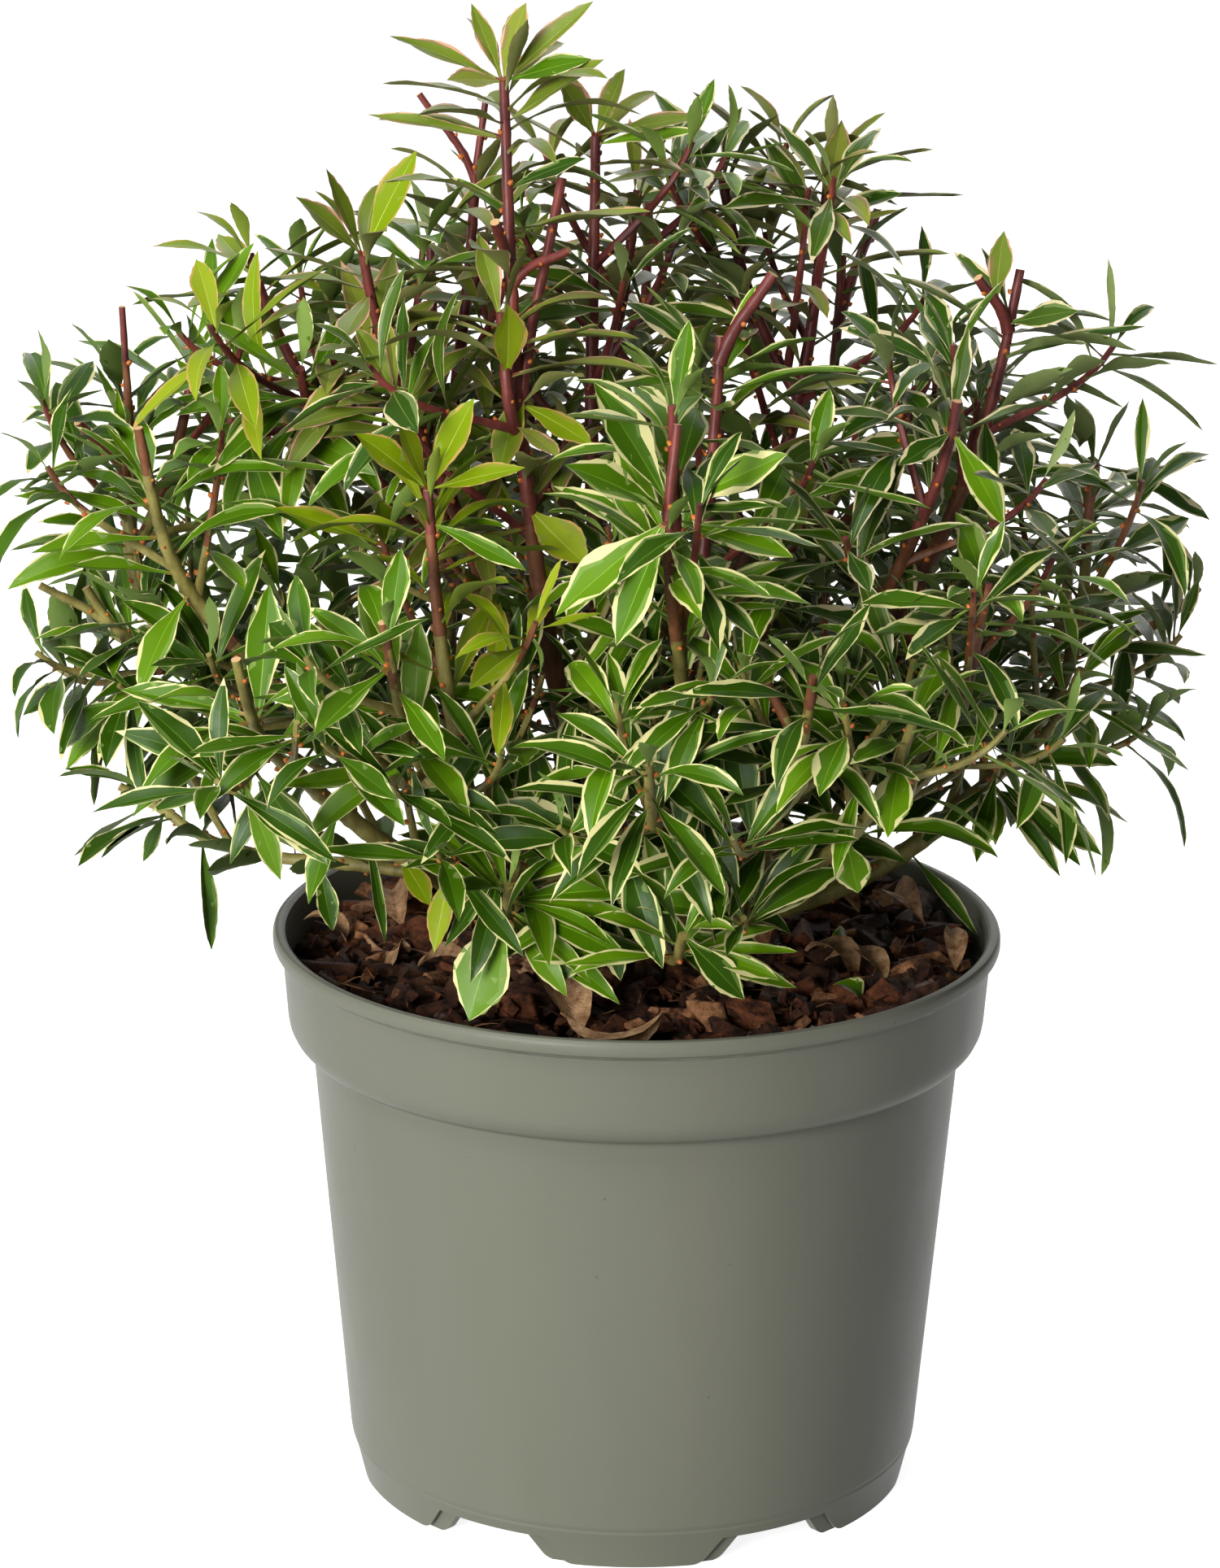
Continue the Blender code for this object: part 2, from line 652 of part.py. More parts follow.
def add_leaves(shoot, first_share, tip_leaves, chance, room, collection):
    """Leaves along one shoot; one that can't be placed after a few tries is skipped."""
    path, radii = shoot
    centre, others, trees = room
    turn = chance.uniform(0.0, 2.0 * math.pi)
    count = 0
    for share, at_tip in leaf_slots(path, first_share, tip_leaves):
        root, tangent = place_on(path, share)
        across = tangent.orthogonal().normalized()
        turn += GOLDEN_ANGLE
        size = chance.uniform(*LEAF_SIZE_SPREAD) * (TIP_LEAF_SIZE if at_tip else 1.0)
        lean = math.radians(chance.uniform(*(TIP_LEAN if at_tip else SIDE_LEAN)))
        for attempt in range(LEAF_TRIES):
            spin = turn + attempt * LEAF_TRY_TURN
            shrink = 1.0 - LEAF_TRY_SHRINK * attempt
            out = Matrix.Rotation(spin, 3, tangent) @ across
            way = (math.cos(lean) * tangent + math.sin(lean) * out).normalized()
            up = (tangent + Vector((0.0, 0.0, 0.6))).normalized()
            if abs(way.dot(up)) > 0.97:
                up = across
            length = LEAF_LENGTH * size * shrink
            bm = leaf_bmesh(root, way, up, length, LEAF_WIDTH * size * shrink)
            tree = fits(bm, centre, others, trees)
            if tree:
                mesh_from("leaf", bm, collection)
                trees.append(tree)
                count += 1
                break
            bm.free()
    return count


def rule_twigs(main, chance):
    """Side twigs of a stem by a seeded rule: a golden-angle turn and a shorter reach each time."""
    twigs = []
    turn = chance.uniform(0.0, 2.0 * math.pi)
    for share, reach in RULE_TWIGS:
        fork, tangent = place_on(main, share)
        turn += GOLDEN_ANGLE
        out = Matrix.Rotation(turn, 3, tangent) @ tangent.orthogonal().normalized()
        way = (TWIG_FORWARD * tangent + TWIG_OUTWARD * out).normalized()
        tip = fork + reach * chance.uniform(*LEAF_SIZE_SPREAD) * way + Vector((0.0, 0.0, TWIG_LIFT))
        path = limb_path(fork, way, tip, shoot_end_way(fork, tip), TWIG_BENDS, False)
        twigs.append((path, (TWIG_BASE_RADIUS, TWIG_TIP_RADIUS)))
    return twigs


def tidy_mesh(obj):
    """Flat neighbours merge, slivers go, and of loose scraps and sealed hollows none stays."""
    bm = bmesh.new()
    bm.from_mesh(obj.data)
    bmesh.ops.remove_doubles(bm, verts=bm.verts, dist=WELD)
    bmesh.ops.dissolve_limit(bm, angle_limit=math.radians(0.1), verts=bm.verts, edges=bm.edges)
    bmesh.ops.dissolve_degenerate(bm, edges=bm.edges, dist=WELD)
    bmesh.ops.triangulate(bm, faces=bm.faces)
    left = set(bm.faces)
    bodies = []
    while left:
        front = [left.pop()]
        body = []
        while front:
            face = front.pop()
            body.append(face)
            for edge in face.edges:
                for near in edge.link_faces:
                    if near in left:
                        left.discard(near)
                        front.append(near)
        bodies.append(body)
    bodies.sort(key=len)
    scraps = [face for body in bodies[:-1] for face in body]
    bmesh.ops.delete(bm, geom=scraps, context="FACES")
    bm.to_mesh(obj.data)
    bm.free()


def make_mass(name, stems, centres, trees, outline, parts, cutters, finish):
    """A mass of foliage: its shoots, twigs by rule and leaves, joined by one union."""
    chance = random.Random(f"{SEED} {name}")
    shoots = stems[name]
    others = [place for other, place in centres.items() if other != name]
    room = (centres[name], others, list(trees))
    stem = limb_mesh(name, *shoots[0], outline, parts, finish)
    for index, (path, radii) in enumerate(shoots[1:]):
        limb_mesh(f"{name}_shoot_{index}", path, radii, outline, cutters)
    twigs = []
    for path, radii in rule_twigs(shoots[0][0], chance):
        twig = limb_mesh(f"{name}_twig", path, radii, outline, cutters)
        bm = bmesh.new()
        bm.from_mesh(twig.data)
        if fits(bm, *room):
            twigs.append((path, radii))
        else:
            bpy.data.objects.remove(twig, do_unlink=True)
        bm.free()
    count = add_leaves(shoots[0], STEM_LEAVES_FROM, TIP_LEAVES, chance, room, cutters)
    for shoot in shoots[1:]:
        count += add_leaves(shoot, SHOOT_LEAVES_FROM, SHOOT_TIP_LEAVES, chance, room, cutters)
    for twig in twigs:
        count += add_leaves(twig, TWIG_LEAVES_FROM, TWIG_TIP_LEAVES, chance, room, cutters)
    apply_boolean(stem, "UNION", cutters, "MANIFOLD")
    tidy_mesh(stem)
    return count


def build():
    clear_scene()
    parts = new_collection("pieris_in_pot")
    cutters = new_collection("cutters")
    guides = new_collection("guides")
    plastic = make_material("pot_plastic", (0.240, 0.250, 0.200), 0.48)
    bark_mulch = make_material("bark_mulch", (0.060, 0.028, 0.018), 0.95)
    old_bark = make_material("stem_bark", (0.150, 0.060, 0.035), 0.70)
    leaf_green = make_material("leaf_green", (0.060, 0.140, 0.030), 0.40)
    six_sides = outline_curve("bough_outline", BOUGH_SIDES, guides)
    three_sides = outline_curve("twig_outline", TWIG_SIDES, guides)

    pot = make_pot(parts, cutters, plastic)
    medium = make_medium(parts, bark_mulch)
    limbs, stubs = plan_limbs()
    stems = plan_stems(limbs, stubs)
    crown = make_root_crown(parts, cutters, six_sides, stubs["root_crown"], old_bark)
    solid_trees = []
    for solid in (pot, medium, crown):
        bm = bmesh.new()
        bm.from_mesh(solid.data)
        solid_trees.append(BVHTree.FromBMesh(bm))
        bm.free()
    for name, limb in limbs.items():
        bough = make_bough(name, limb, stubs[name], six_sides, parts, cutters, old_bark)
        bough_limbs = [limb] + [([start, seat], (radius, radius)) for start, seat, radius in stubs[name]]
        solid_trees.append(guard_tree(bough_limbs))

    centres = {name: place_on(shoots[0][0], SPACE_CENTRE)[0] for name, shoots in stems.items()}
    stem_trees = {name: guard_tree(shoots) for name, shoots in stems.items()}
    total = 0
    for name in MASSES:
        trees = solid_trees + [tree for other, tree in stem_trees.items() if other != name]
        total += make_mass(name, stems, centres, trees, three_sides, parts, cutters, leaf_green)
    print("leaves placed:", total)


build()
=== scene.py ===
# %% [markdown]
# # A variegated pieris shrub in its nursery pot
# The real thing is a young evergreen shrub, about 24 cm of crown over a 15 cm pot.  Its stems fork
# close to the mulch, its narrow leaves have cream edges and stand in whorls at the shoots' tips.
# The imported CAD model is loaded first, because every piece has to sit where the CAD says.  Each later
# cell makes one piece, prints what it made, and hides the CAD nodes that the piece stands for.

# %% Load the imported model
import math
import random

import bmesh
import bpy
import numpy as np
from mathutils import Matrix, Vector, noise
from mathutils.bvhtree import BVHTree


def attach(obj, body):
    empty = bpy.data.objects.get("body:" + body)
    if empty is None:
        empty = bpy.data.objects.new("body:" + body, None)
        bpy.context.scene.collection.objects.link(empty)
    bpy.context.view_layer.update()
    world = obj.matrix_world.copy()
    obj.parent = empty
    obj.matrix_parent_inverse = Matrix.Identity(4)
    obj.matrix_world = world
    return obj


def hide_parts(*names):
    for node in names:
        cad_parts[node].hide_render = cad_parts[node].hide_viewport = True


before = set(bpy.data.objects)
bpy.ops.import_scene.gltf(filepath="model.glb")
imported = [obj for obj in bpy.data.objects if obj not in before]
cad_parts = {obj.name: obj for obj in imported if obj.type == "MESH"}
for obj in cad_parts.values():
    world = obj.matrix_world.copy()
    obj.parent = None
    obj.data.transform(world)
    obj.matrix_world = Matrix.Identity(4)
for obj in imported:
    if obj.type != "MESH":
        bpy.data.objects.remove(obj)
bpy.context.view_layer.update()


def in_millimetres(lengths):
    """Lengths in metres as millimetres with one decimal, for printing."""
    return [round(1000.0 * length, 1) for length in lengths]


# %% [markdown]
# ## Camera
# The photograph was taken from a little above the rim with a long lens, so the pot's mouth shows as a
# flat oval.  A camera could be aimed with a constraint, but a matrix is plainer and has nothing live:
# it is moved into place, tipped down, and rolled by the small lean that the picture has.

# %% Camera at the photograph's angle
CAMERA_PLACE = (-0.0072, -1.2, 0.5446)
CAMERA_DIP = math.radians(16.58)
CAMERA_ROLL = math.radians(0.39)
CAMERA_LENS = 110.8
SENSOR_WIDTH = 36.0

camera_data = bpy.data.cameras.new("camera")
camera_data.sensor_width = SENSOR_WIDTH
camera_data.lens = CAMERA_LENS
camera = bpy.data.objects.new("camera", camera_data)
bpy.context.scene.collection.objects.link(camera)
tip_down = Matrix.Rotation(math.radians(90.0) - CAMERA_DIP, 4, "X")
camera.matrix_world = Matrix.Translation(CAMERA_PLACE) @ tip_down @ Matrix.Rotation(CAMERA_ROLL, 4, "Z")
bpy.context.scene.camera = camera
print("camera lens", camera_data.lens, "mm")

# %% [markdown]
# ## Floor and light
# The photograph is a studio shot on white, lit softly from the front left, with the right side of the
# pot falling off into shade.  A low lamp at the front left gives that fall-off, a fainter one above the
# crown fills the shadow that it throws on the collar, and one behind lights the leaves' edges.  A floor
# that glows stays white right to the back without more lamps, but it would also light the shaded side,
# so the switch that hides it from diffuse rays is set, while gloss still mirrors it in the pot's edges.
# The studio's own light is stronger on the left than on the right, and from above than from below.

# %% Floor
FLOOR_SIDE = 80.0
FLOOR_GLOW = 0.86
WHITE = (1.0, 1.0, 1.0, 1.0)


def nothing_selected():
    """Operators act on all that is selected, so each step starts with a clean slate."""
    if bpy.context.object and bpy.context.object.mode != "OBJECT":
        bpy.ops.object.mode_set(mode="OBJECT")
    bpy.ops.object.select_all(action="DESELECT")


def linear(colour):
    """Screen values of 0 to 255 as the linear light that shaders work in."""
    return [(value / 255.0) ** 2.2 for value in colour]


def shader_inputs(made):
    """The sockets of a material's one shader."""
    return made.node_tree.nodes["Principled BSDF"].inputs


def plain_material(name, colour, roughness, gloss=None):
    """A material of one colour, given as 0 to 255 values as a paint chart gives them."""
    made = bpy.data.materials.new(name)
    made.use_nodes = True
    shader_inputs(made)["Base Color"].default_value = (*linear(colour), 1.0)
    shader_inputs(made)["Roughness"].default_value = roughness
    if gloss is not None:
        shader_inputs(made)["Specular IOR Level"].default_value = gloss
    return made


nothing_selected()
bpy.ops.mesh.primitive_plane_add(size=FLOOR_SIDE, location=(0.0, 0.0, 0.0))
floor = bpy.context.object
floor.name = "studio_floor"
pale = plain_material("pale_floor", (190, 190, 190), 0.9)
shader_inputs(pale)["Emission Color"].default_value = WHITE
shader_inputs(pale)["Emission Strength"].default_value = FLOOR_GLOW
floor.data.materials.append(pale)
floor.visible_diffuse = False
print("floor", floor.dimensions[:2])

# %% Lights
LAMP_AIM = (0.0, 0.0, 0.2)
# Lamps: name, place and side in metres, watts
LAMPS = (
    ("key_lamp", (-0.92, -1.58, 0.64), 0.8, 45.0), ("top_lamp", (-0.60, -0.75, 1.65), 0.8, 15.0),
    ("back_lamp", (0.4, 1.5, 1.1), 1.6, 14.0),
)
# The studio's own light along an axis, at its low end and at its high end
STUDIO_LIGHT = (("X", 0.44, 0.04), ("Z", 0.75, 1.20))


def area_lamp(name, place, side, watts):
    """A square lamp that looks at the plant."""
    data = bpy.data.lights.new(name, "AREA")
    data.energy = watts
    data.size = side
    lamp = bpy.data.objects.new(name, data)
    lamp.location = place
    lamp.rotation_euler = (Vector(LAMP_AIM) - Vector(place)).to_track_quat("-Z", "Y").to_euler()
    bpy.context.scene.collection.objects.link(lamp)


for lamp in LAMPS:
    area_lamp(*lamp)
world = bpy.data.worlds.new("studio_world")
world.use_nodes = True
sky = world.node_tree
background = sky.nodes["Background"]
background.inputs["Color"].default_value = WHITE
direction = sky.nodes.new("ShaderNodeTexCoord")
axes = sky.nodes.new("ShaderNodeSeparateXYZ")
sky.links.new(direction.outputs["Generated"], axes.inputs["Vector"])
strength = sky.nodes.new("ShaderNodeMath")
strength.operation = "MULTIPLY"
for slot, (axis, low, high) in enumerate(STUDIO_LIGHT):
    fall_off = sky.nodes.new("ShaderNodeMapRange")
    for socket, value in (("From Min", -1.0), ("From Max", 1.0), ("To Min", low), ("To Max", high)):
        fall_off.inputs[socket].default_value = value
    sky.links.new(axes.outputs[axis], fall_off.inputs["Value"])
    sky.links.new(fall_off.outputs["Result"], strength.inputs[slot])
sky.links.new(strength.outputs["Value"], background.inputs["Strength"])
bpy.context.scene.world = world
bpy.context.scene.view_settings.view_transform = "Standard"

# %% [markdown]
# ## Finishes
# Four kinds of surface show: moulded plastic, bark mulch, stems and leaves.  The plastic, the bark and
# the mulch get node patterns on Object coordinates, which stay put when the piece is seen from any side.
# Leaves are different: hundreds are joined in one mesh, so their green, cream and pale rib are faces
# of their own with plain colours, and only the fine quilting of the blade is a bump.

# %% Pattern helpers
def socket_named(inputs, word):
    """The socket that a plain word such as base_color stands for."""
    return inputs[word.replace("_", " ").title()]


def add_node(tree, kind, **values):
    """A node with some of its sockets set by name."""
    made = tree.nodes.new(kind)
    for word, value in values.items():
        socket_named(made.inputs, word).default_value = value
    return made


def noise_pattern(tree, scale, detail=3.0, rough=0.5, stretch=(1.0, 1.0, 1.0)):
    """Soft noise on Object coordinates, drawn out along the axes by stretch."""
    place = tree.nodes.new("ShaderNodeTexCoord")
    mapping = tree.nodes.new("ShaderNodeMapping")
    mapping.inputs["Scale"].default_value = stretch
    tree.links.new(place.outputs["Object"], mapping.inputs["Vector"])
    pattern = add_node(tree, "ShaderNodeTexNoise", scale=scale, detail=detail, roughness=rough)
    tree.links.new(mapping.outputs["Vector"], pattern.inputs["Vector"])
    return pattern.outputs["Fac"]


def ramp(tree, source, stops):
    """A colour ramp from a pattern: stops are (place, colour)."""
    made = tree.nodes.new("ShaderNodeValToRGB")
    bar = made.color_ramp
    while len(bar.elements) < len(stops):
        bar.elements.new(0.5)
    for element, (place, colour) in zip(bar.elements, stops):
        element.position = place
        element.color = (*linear(colour), 1.0)
    tree.links.new(source, made.inputs["Fac"])
    return made.outputs["Color"]


def bump(tree, source, strength, distance, before=None):
    """Relief from a pattern, over an earlier relief where there is one."""
    made = add_node(tree, "ShaderNodeBump", strength=strength, distance=distance)
    tree.links.new(source, made.inputs["Height"])
    if before:
        tree.links.new(before, made.inputs["Normal"])
    return made.outputs["Normal"]


def between(tree, source, low, high):
    """A pattern's 0 to 1 as a range of plain numbers."""
    made = tree.nodes.new("ShaderNodeMapRange")
    made.inputs["To Min"].default_value = low
    made.inputs["To Max"].default_value = high
    tree.links.new(source, made.inputs["Value"])
    return made.outputs["Result"]


def patterned(made, **patterns):
    """Patterns take the place of the finish's plain colour, roughness or surface."""
    for word, source in patterns.items():
        made.node_tree.links.new(source, socket_named(shader_inputs(made), word))
    return made


print("pattern helpers ready")

# %% Pot plastic
def pot_plastic():
    """Grey-green moulded plastic: faint upright flow streaks, fine grain, and sparse dark specks."""
    made = plain_material("pot_plastic", (105, 106, 94), 0.4, gloss=0.18)
    tree = made.node_tree
    streaks = noise_pattern(tree, 18.0, 4.0, 0.6, (1.0, 1.0, 0.25))
    tint = ramp(tree, streaks, [(0.25, (101, 103, 90)), (0.75, (109, 110, 98))])
    place = tree.nodes.new("ShaderNodeTexCoord")
    dots = add_node(tree, "ShaderNodeTexVoronoi", scale=95.0)
    tree.links.new(place.outputs["Object"], dots.inputs["Vector"])
    speck = ramp(tree, dots.outputs["Distance"], [(0.022, (60, 60, 50)), (0.040, (255, 255, 255))])
    mix = tree.nodes.new("ShaderNodeMix")
    mix.data_type = "RGBA"
    mix.blend_type = "MULTIPLY"
    mix.inputs["Factor"].default_value = 0.45
    tree.links.new(tint, mix.inputs["A"])
    tree.links.new(speck, mix.inputs["B"])
    scuffs = noise_pattern(tree, 60.0, 6.0, 0.7, (1.0, 1.0, 0.5))
    rough = between(tree, scuffs, 0.32, 0.50)
    grain = noise_pattern(tree, 1400.0, 2.0)
    waves = bump(tree, noise_pattern(tree, 25.0, 2.0), 0.25, 0.0006)
    surface = bump(tree, grain, 0.12, 0.0001, waves)
    return patterned(made, base_color=mix.outputs["Result"], roughness=rough, normal=surface)


plastic = pot_plastic()
print("made", plastic.name)

# %% [markdown]
# ## The pot
# A nursery pot is moulded in one go: a tapered body, a wider collar with a rounded foot, a thick lip with
# a ragged line of flash under it, and six short feet.  Spinning a profile would make all but the feet.
# Here the wall is drawn up ring by ring instead, as on a potter's wheel: each ring is extruded from the
# last, moved and resized, so the same mesh then has faces under it that the feet are pulled from.

# %% Rings of the pot's wall
POT_SIDES = 180
POT_RINGS = (
    (74.3, 8.9), (76.0, 28.0), (79.9, 74.0), (83.7, 119.3), (85.2, 122.1), (87.6, 122.9), (89.2, 124.6),
    (89.8, 126.8), (90.6, 138.0), (91.2, 145.6), (91.4, 148.0), (91.8, 149.2), (92.6, 149.85),
    (93.5, 150.0), (94.3, 149.8), (94.8, 149.2), (95.0, 148.4), (95.0, 146.7), (94.8, 146.1),
    (94.3, 145.75), (93.6, 145.6), (93.35, 145.2), (93.0, 144.8), (92.62, 144.5), (92.5, 143.6),
    (92.1, 138.0), (91.55, 131.0), (91.25, 126.9), (90.9, 124.8), (90.0, 122.9), (88.6, 121.4),
    (86.9, 120.75), (85.5, 120.6), (85.12, 120.2), (84.95, 119.0), (81.3, 76.0), (77.6, 33.0),
    (75.85, 12.2), (75.76, 11.2), (75.58, 10.85), (75.52, 10.5), (75.6, 10.2), (75.5, 9.7),
    (74.69, 7.3), (73.5, 7.3), (73.3, 7.3), (70.6, 7.3), (40.0, 7.3), (14.0, 7.3), (13.8, 0.3), (13.4, 0.0),
)
MM = 0.001


def next_ring(last, following):
    """The open edge is extruded, lifted and resized to the next ring."""
    bpy.ops.mesh.select_mode(type="EDGE")
    lift = (following[1] - last[1]) * MM
    bpy.ops.mesh.extrude_region_move(TRANSFORM_OT_translate={"value": (0.0, 0.0, lift)})
    ratio = following[0] / last[0]
    bpy.ops.transform.resize(value=(ratio, ratio, 1.0), center_override=(0.0, 0.0, 0.0))


def pick(piece, test, kind="VERT"):
    """Edit mode: only the vertices, edges or faces that pass the test are selected."""
    bpy.ops.mesh.select_mode(type=kind)
    bpy.ops.mesh.select_all(action="DESELECT")
    bm = bmesh.from_edit_mesh(piece.data)
    items = {"VERT": bm.verts, "EDGE": bm.edges, "FACE": bm.faces}[kind]
    passed = [item for item in items if test(item)]
    for item in passed:
        item.select = True
    bm.select_flush_mode()
    bmesh.update_edit_mesh(piece.data)
    return len(passed)


def draw_wall(name, rings, sides):
    """A wall drawn up ring by ring from a bare circle, closed at both ends and left in edit mode."""
    nothing_selected()
    radius, height = rings[0][0] * MM, rings[0][1] * MM
    bpy.ops.mesh.primitive_circle_add(vertices=sides, radius=radius, location=(0.0, 0.0, height))
    piece = bpy.context.object
    piece.name = name
    bpy.ops.object.transform_apply(location=True, rotation=True, scale=True)
    bpy.ops.object.mode_set(mode="EDIT")
    bpy.ops.mesh.select_mode(type="EDGE")
    bpy.ops.mesh.select_all(action="SELECT")
    for last, following in zip(rings, rings[1:]):
        next_ring(last, following)
    bpy.ops.mesh.edge_face_add()
    pick(piece, lambda vert: abs(vert.co.z - height) < 1e-6)
    bpy.ops.mesh.edge_face_add()
    return piece


pot = draw_wall("nursery_pot", POT_RINGS, POT_SIDES)
print("pot wall:", len(POT_RINGS), "rings of", POT_SIDES)

# %% [markdown]
# The feet are blocks pulled down from the skirt's underside.  Each has a face flush with the skirt and,
# at both ends, a short return set back behind it.  Two bands of faces a hair apart are extruded, so each
# block keeps a clean outline, and then the blocks' lower ends are turned in and rounded.

# %% Feet
# Bands of the underside, in millimetres from the axis, and half their width in degrees
RETURN_BAND = (70.6, 73.3, 22.0)
FOOT_BAND = (73.5, 74.8, 18.0)
FOOT_DROP = 7.3 * MM
FOOT_TAPER = 0.983
FOOT_ROUND = 0.0022
END_SLANT = 4.4
SLANT_FROM = 12.0
SLANT_OVER = 10.0
LEVEL = 1e-5


def off_centre(place):
    """Degrees from the nearest foot's middle; one foot faces the front."""
    turn = math.degrees(math.atan2(place.y, place.x)) + 90.0
    return (turn + 30.0) % 60.0 - 30.0


def from_axis(place):
    """Millimetres from the pot's axis."""
    return math.hypot(place.x, place.y) / MM


def pull_feet(inner, outer, half):
    """Faces of one band are drawn down to the floor, tapered, and their ends drawn in aslant."""
    def in_band(face):
        place = face.calc_center_median()
        flat = abs(place.z - FOOT_DROP) < LEVEL and abs(face.normal.z) > 0.9
        return flat and inner < from_axis(place) < outer and abs(off_centre(place)) < half

    def underfoot(place):
        return place.z < LEVEL and 0.95 * inner < from_axis(place) < outer

    def end_edge(edge):
        a, b = (vert.co for vert in edge.verts)
        middle = (a + b) / 2.0
        low = a.z < LEVEL and b.z < LEVEL and underfoot(middle)
        radial = abs(off_centre(a) - off_centre(b)) < 0.05
        return low and radial and abs(off_centre(middle)) > half - END_SLANT - 0.5

    count = pick(pot, in_band, "FACE")
    bpy.ops.mesh.extrude_region_move(TRANSFORM_OT_translate={"value": (0.0, 0.0, -FOOT_DROP)})
    bpy.ops.transform.resize(value=(FOOT_TAPER, FOOT_TAPER, 1.0), center_override=(0.0, 0.0, 0.0))
    pick(pot, lambda vert: underfoot(vert.co))
    bm = bmesh.from_edit_mesh(pot.data)
    for vert in bm.verts:
        if vert.select:
            away = off_centre(vert.co)
            drawn = END_SLANT * min(1.0, max(0.0, (abs(away) - half + SLANT_FROM) / SLANT_OVER))
            vert.co = Matrix.Rotation(math.radians(-math.copysign(drawn, away)), 4, "Z") @ vert.co
    bmesh.update_edit_mesh(pot.data)
    pick(pot, end_edge, "EDGE")
    bpy.ops.mesh.bevel(offset=FOOT_ROUND, segments=4, affect="EDGES")
    return count


print("foot faces pulled:", pull_feet(*RETURN_BAND), pull_feet(*FOOT_BAND))

# %% Ragged flash under the lip, drain holes, and smooth shading
FLASH_HEIGHTS = (0.1452, 0.1448)
FLASH_JITTER = 0.00035
DRAIN_HOLES = 6
DRAIN_REACH = 0.056
DRAIN_RADIUS = 0.0045


def around(away, turn, height):
    """The point at a distance and a turn from the pot's axis, at a height."""
    return Vector((away * math.cos(turn), away * math.sin(turn), height))


def select_only(pieces):
    """The pieces are selected, and the first is the active one."""
    nothing_selected()
    for piece in pieces:
        piece.select_set(True)
    bpy.context.view_layer.objects.active = pieces[0]


def smooth_finish(piece, finish, degrees):
    """A modelled piece is shaded smooth where it bends less than an angle, and gets its one finish."""
    select_only([piece])
    bpy.ops.object.shade_smooth_by_angle(angle=math.radians(degrees))
    piece.data.materials.clear()
    piece.data.materials.append(finish)


pick(pot, lambda vert: any(abs(vert.co.z - height) < 2e-5 for height in FLASH_HEIGHTS))
bpy.ops.transform.vertex_random(offset=FLASH_JITTER, seed=5)
bpy.ops.mesh.select_all(action="SELECT")
bpy.ops.mesh.normals_make_consistent(inside=False)
nothing_selected()
cutters = []
for index in range(DRAIN_HOLES):
    place = around(DRAIN_REACH, math.radians(-60.0 + 360.0 / DRAIN_HOLES * index), 0.0081)
    bpy.ops.mesh.primitive_cylinder_add(vertices=32, radius=DRAIN_RADIUS, depth=0.006, location=place)
    cutters.append(bpy.context.object)
select_only(cutters)
bpy.ops.object.join()
cutter = bpy.context.object
select_only([pot])
cut = pot.modifiers.new("drain_holes", "BOOLEAN")
cut.operation = "DIFFERENCE"
cut.solver = "EXACT"
cut.object = cutter
bpy.ops.object.modifier_apply(modifier=cut.name)
bpy.data.objects.remove(cutter, do_unlink=True)
smooth_finish(pot, plastic, 32.0)
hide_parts("pot")
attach(pot, "root")
print("pot faces:", len(pot.data.polygons), "sides in millimetres:", in_millimetres(pot.dimensions))

# %% [markdown]
# ## One mesh from many small things
# Leaves, chips and buds come in hundreds.  Particles or instances would be lost when the model is saved,
# so each kind is laid into one mesh: a small shape's points are turned and moved with numpy, and its
# faces are renumbered.  Every face also says which of the mesh's finishes it has.

# %% A heap that becomes one mesh
class Heap:
    """Collects copies of small shapes, then makes them one mesh."""

    def __init__(self):
        self.points = []
        self.loops = []
        self.sizes = []
        self.kinds = []
        self.count = 0
        self.copies = 0

    def add(self, points, loops, sizes, kinds):
        self.points.append(points)
        self.loops.append(loops + self.count)
        self.sizes.append(sizes)
        self.kinds.append(kinds)
        self.count += len(points)
        self.copies += 1

    def triangles(self):
        return int(sum((sizes - 2).sum() for sizes in self.sizes))

    def to_object(self, name, materials, angle=50.0):
        points = np.concatenate(self.points).astype(np.float32)
        loops = np.concatenate(self.loops).astype(np.int32)
        sizes = np.concatenate(self.sizes).astype(np.int32)
        kinds = np.concatenate(self.kinds).astype(np.int32)
        data = bpy.data.meshes.new(name)
        data.vertices.add(len(points))
        data.vertices.foreach_set("co", points.ravel())
        data.loops.add(len(loops))
        data.loops.foreach_set("vertex_index", loops)
        data.polygons.add(len(sizes))
        starts = np.concatenate(([0], np.cumsum(sizes)[:-1])).astype(np.int32)
        data.polygons.foreach_set("loop_start", starts)
        data.update(calc_edges=True)
        for item in materials:
            data.materials.append(item)
        data.polygons.foreach_set("material_index", kinds)
        data.validate()
        data.shade_smooth()
        data.set_sharp_from_angle(angle=math.radians(angle))
        made = bpy.data.objects.new(name, data)
        bpy.context.scene.collection.objects.link(made)
        print(name, "-", self.copies, "copies,", self.triangles(), "triangles")
        return made


def shape_arrays(points, faces, kinds):
    """Points, all faces' corners in one row, faces' sizes and faces' kinds."""
    loops = np.array([corner for face in faces for corner in face], dtype=np.int32)
    sizes = np.array([len(face) for face in faces], dtype=np.int32)
    return np.array(points, dtype=np.float64), loops, sizes, np.array(kinds, dtype=np.int32)


def placed(points, root, way, up, size):
    """A shape that lies along +X with +Z up is turned to a way and an up, sized and moved."""
    side = up.cross(way).normalized()
    top = way.cross(side).normalized()
    turn = np.array([way[:], side[:], top[:]])
    return points @ turn * size + np.array(root[:])


print("heap ready")

# %% [markdown]
# ## Limbs by rule
# The crown's limbs come from the same few numbers as the CAD solids: each bough leaves the root crown at
# an angle and bends smoothly to its end, a side bough forks off another, and each mass of foliage grows
# from one stem.  The rule is written again here, with more bends to each limb so that it looks round.

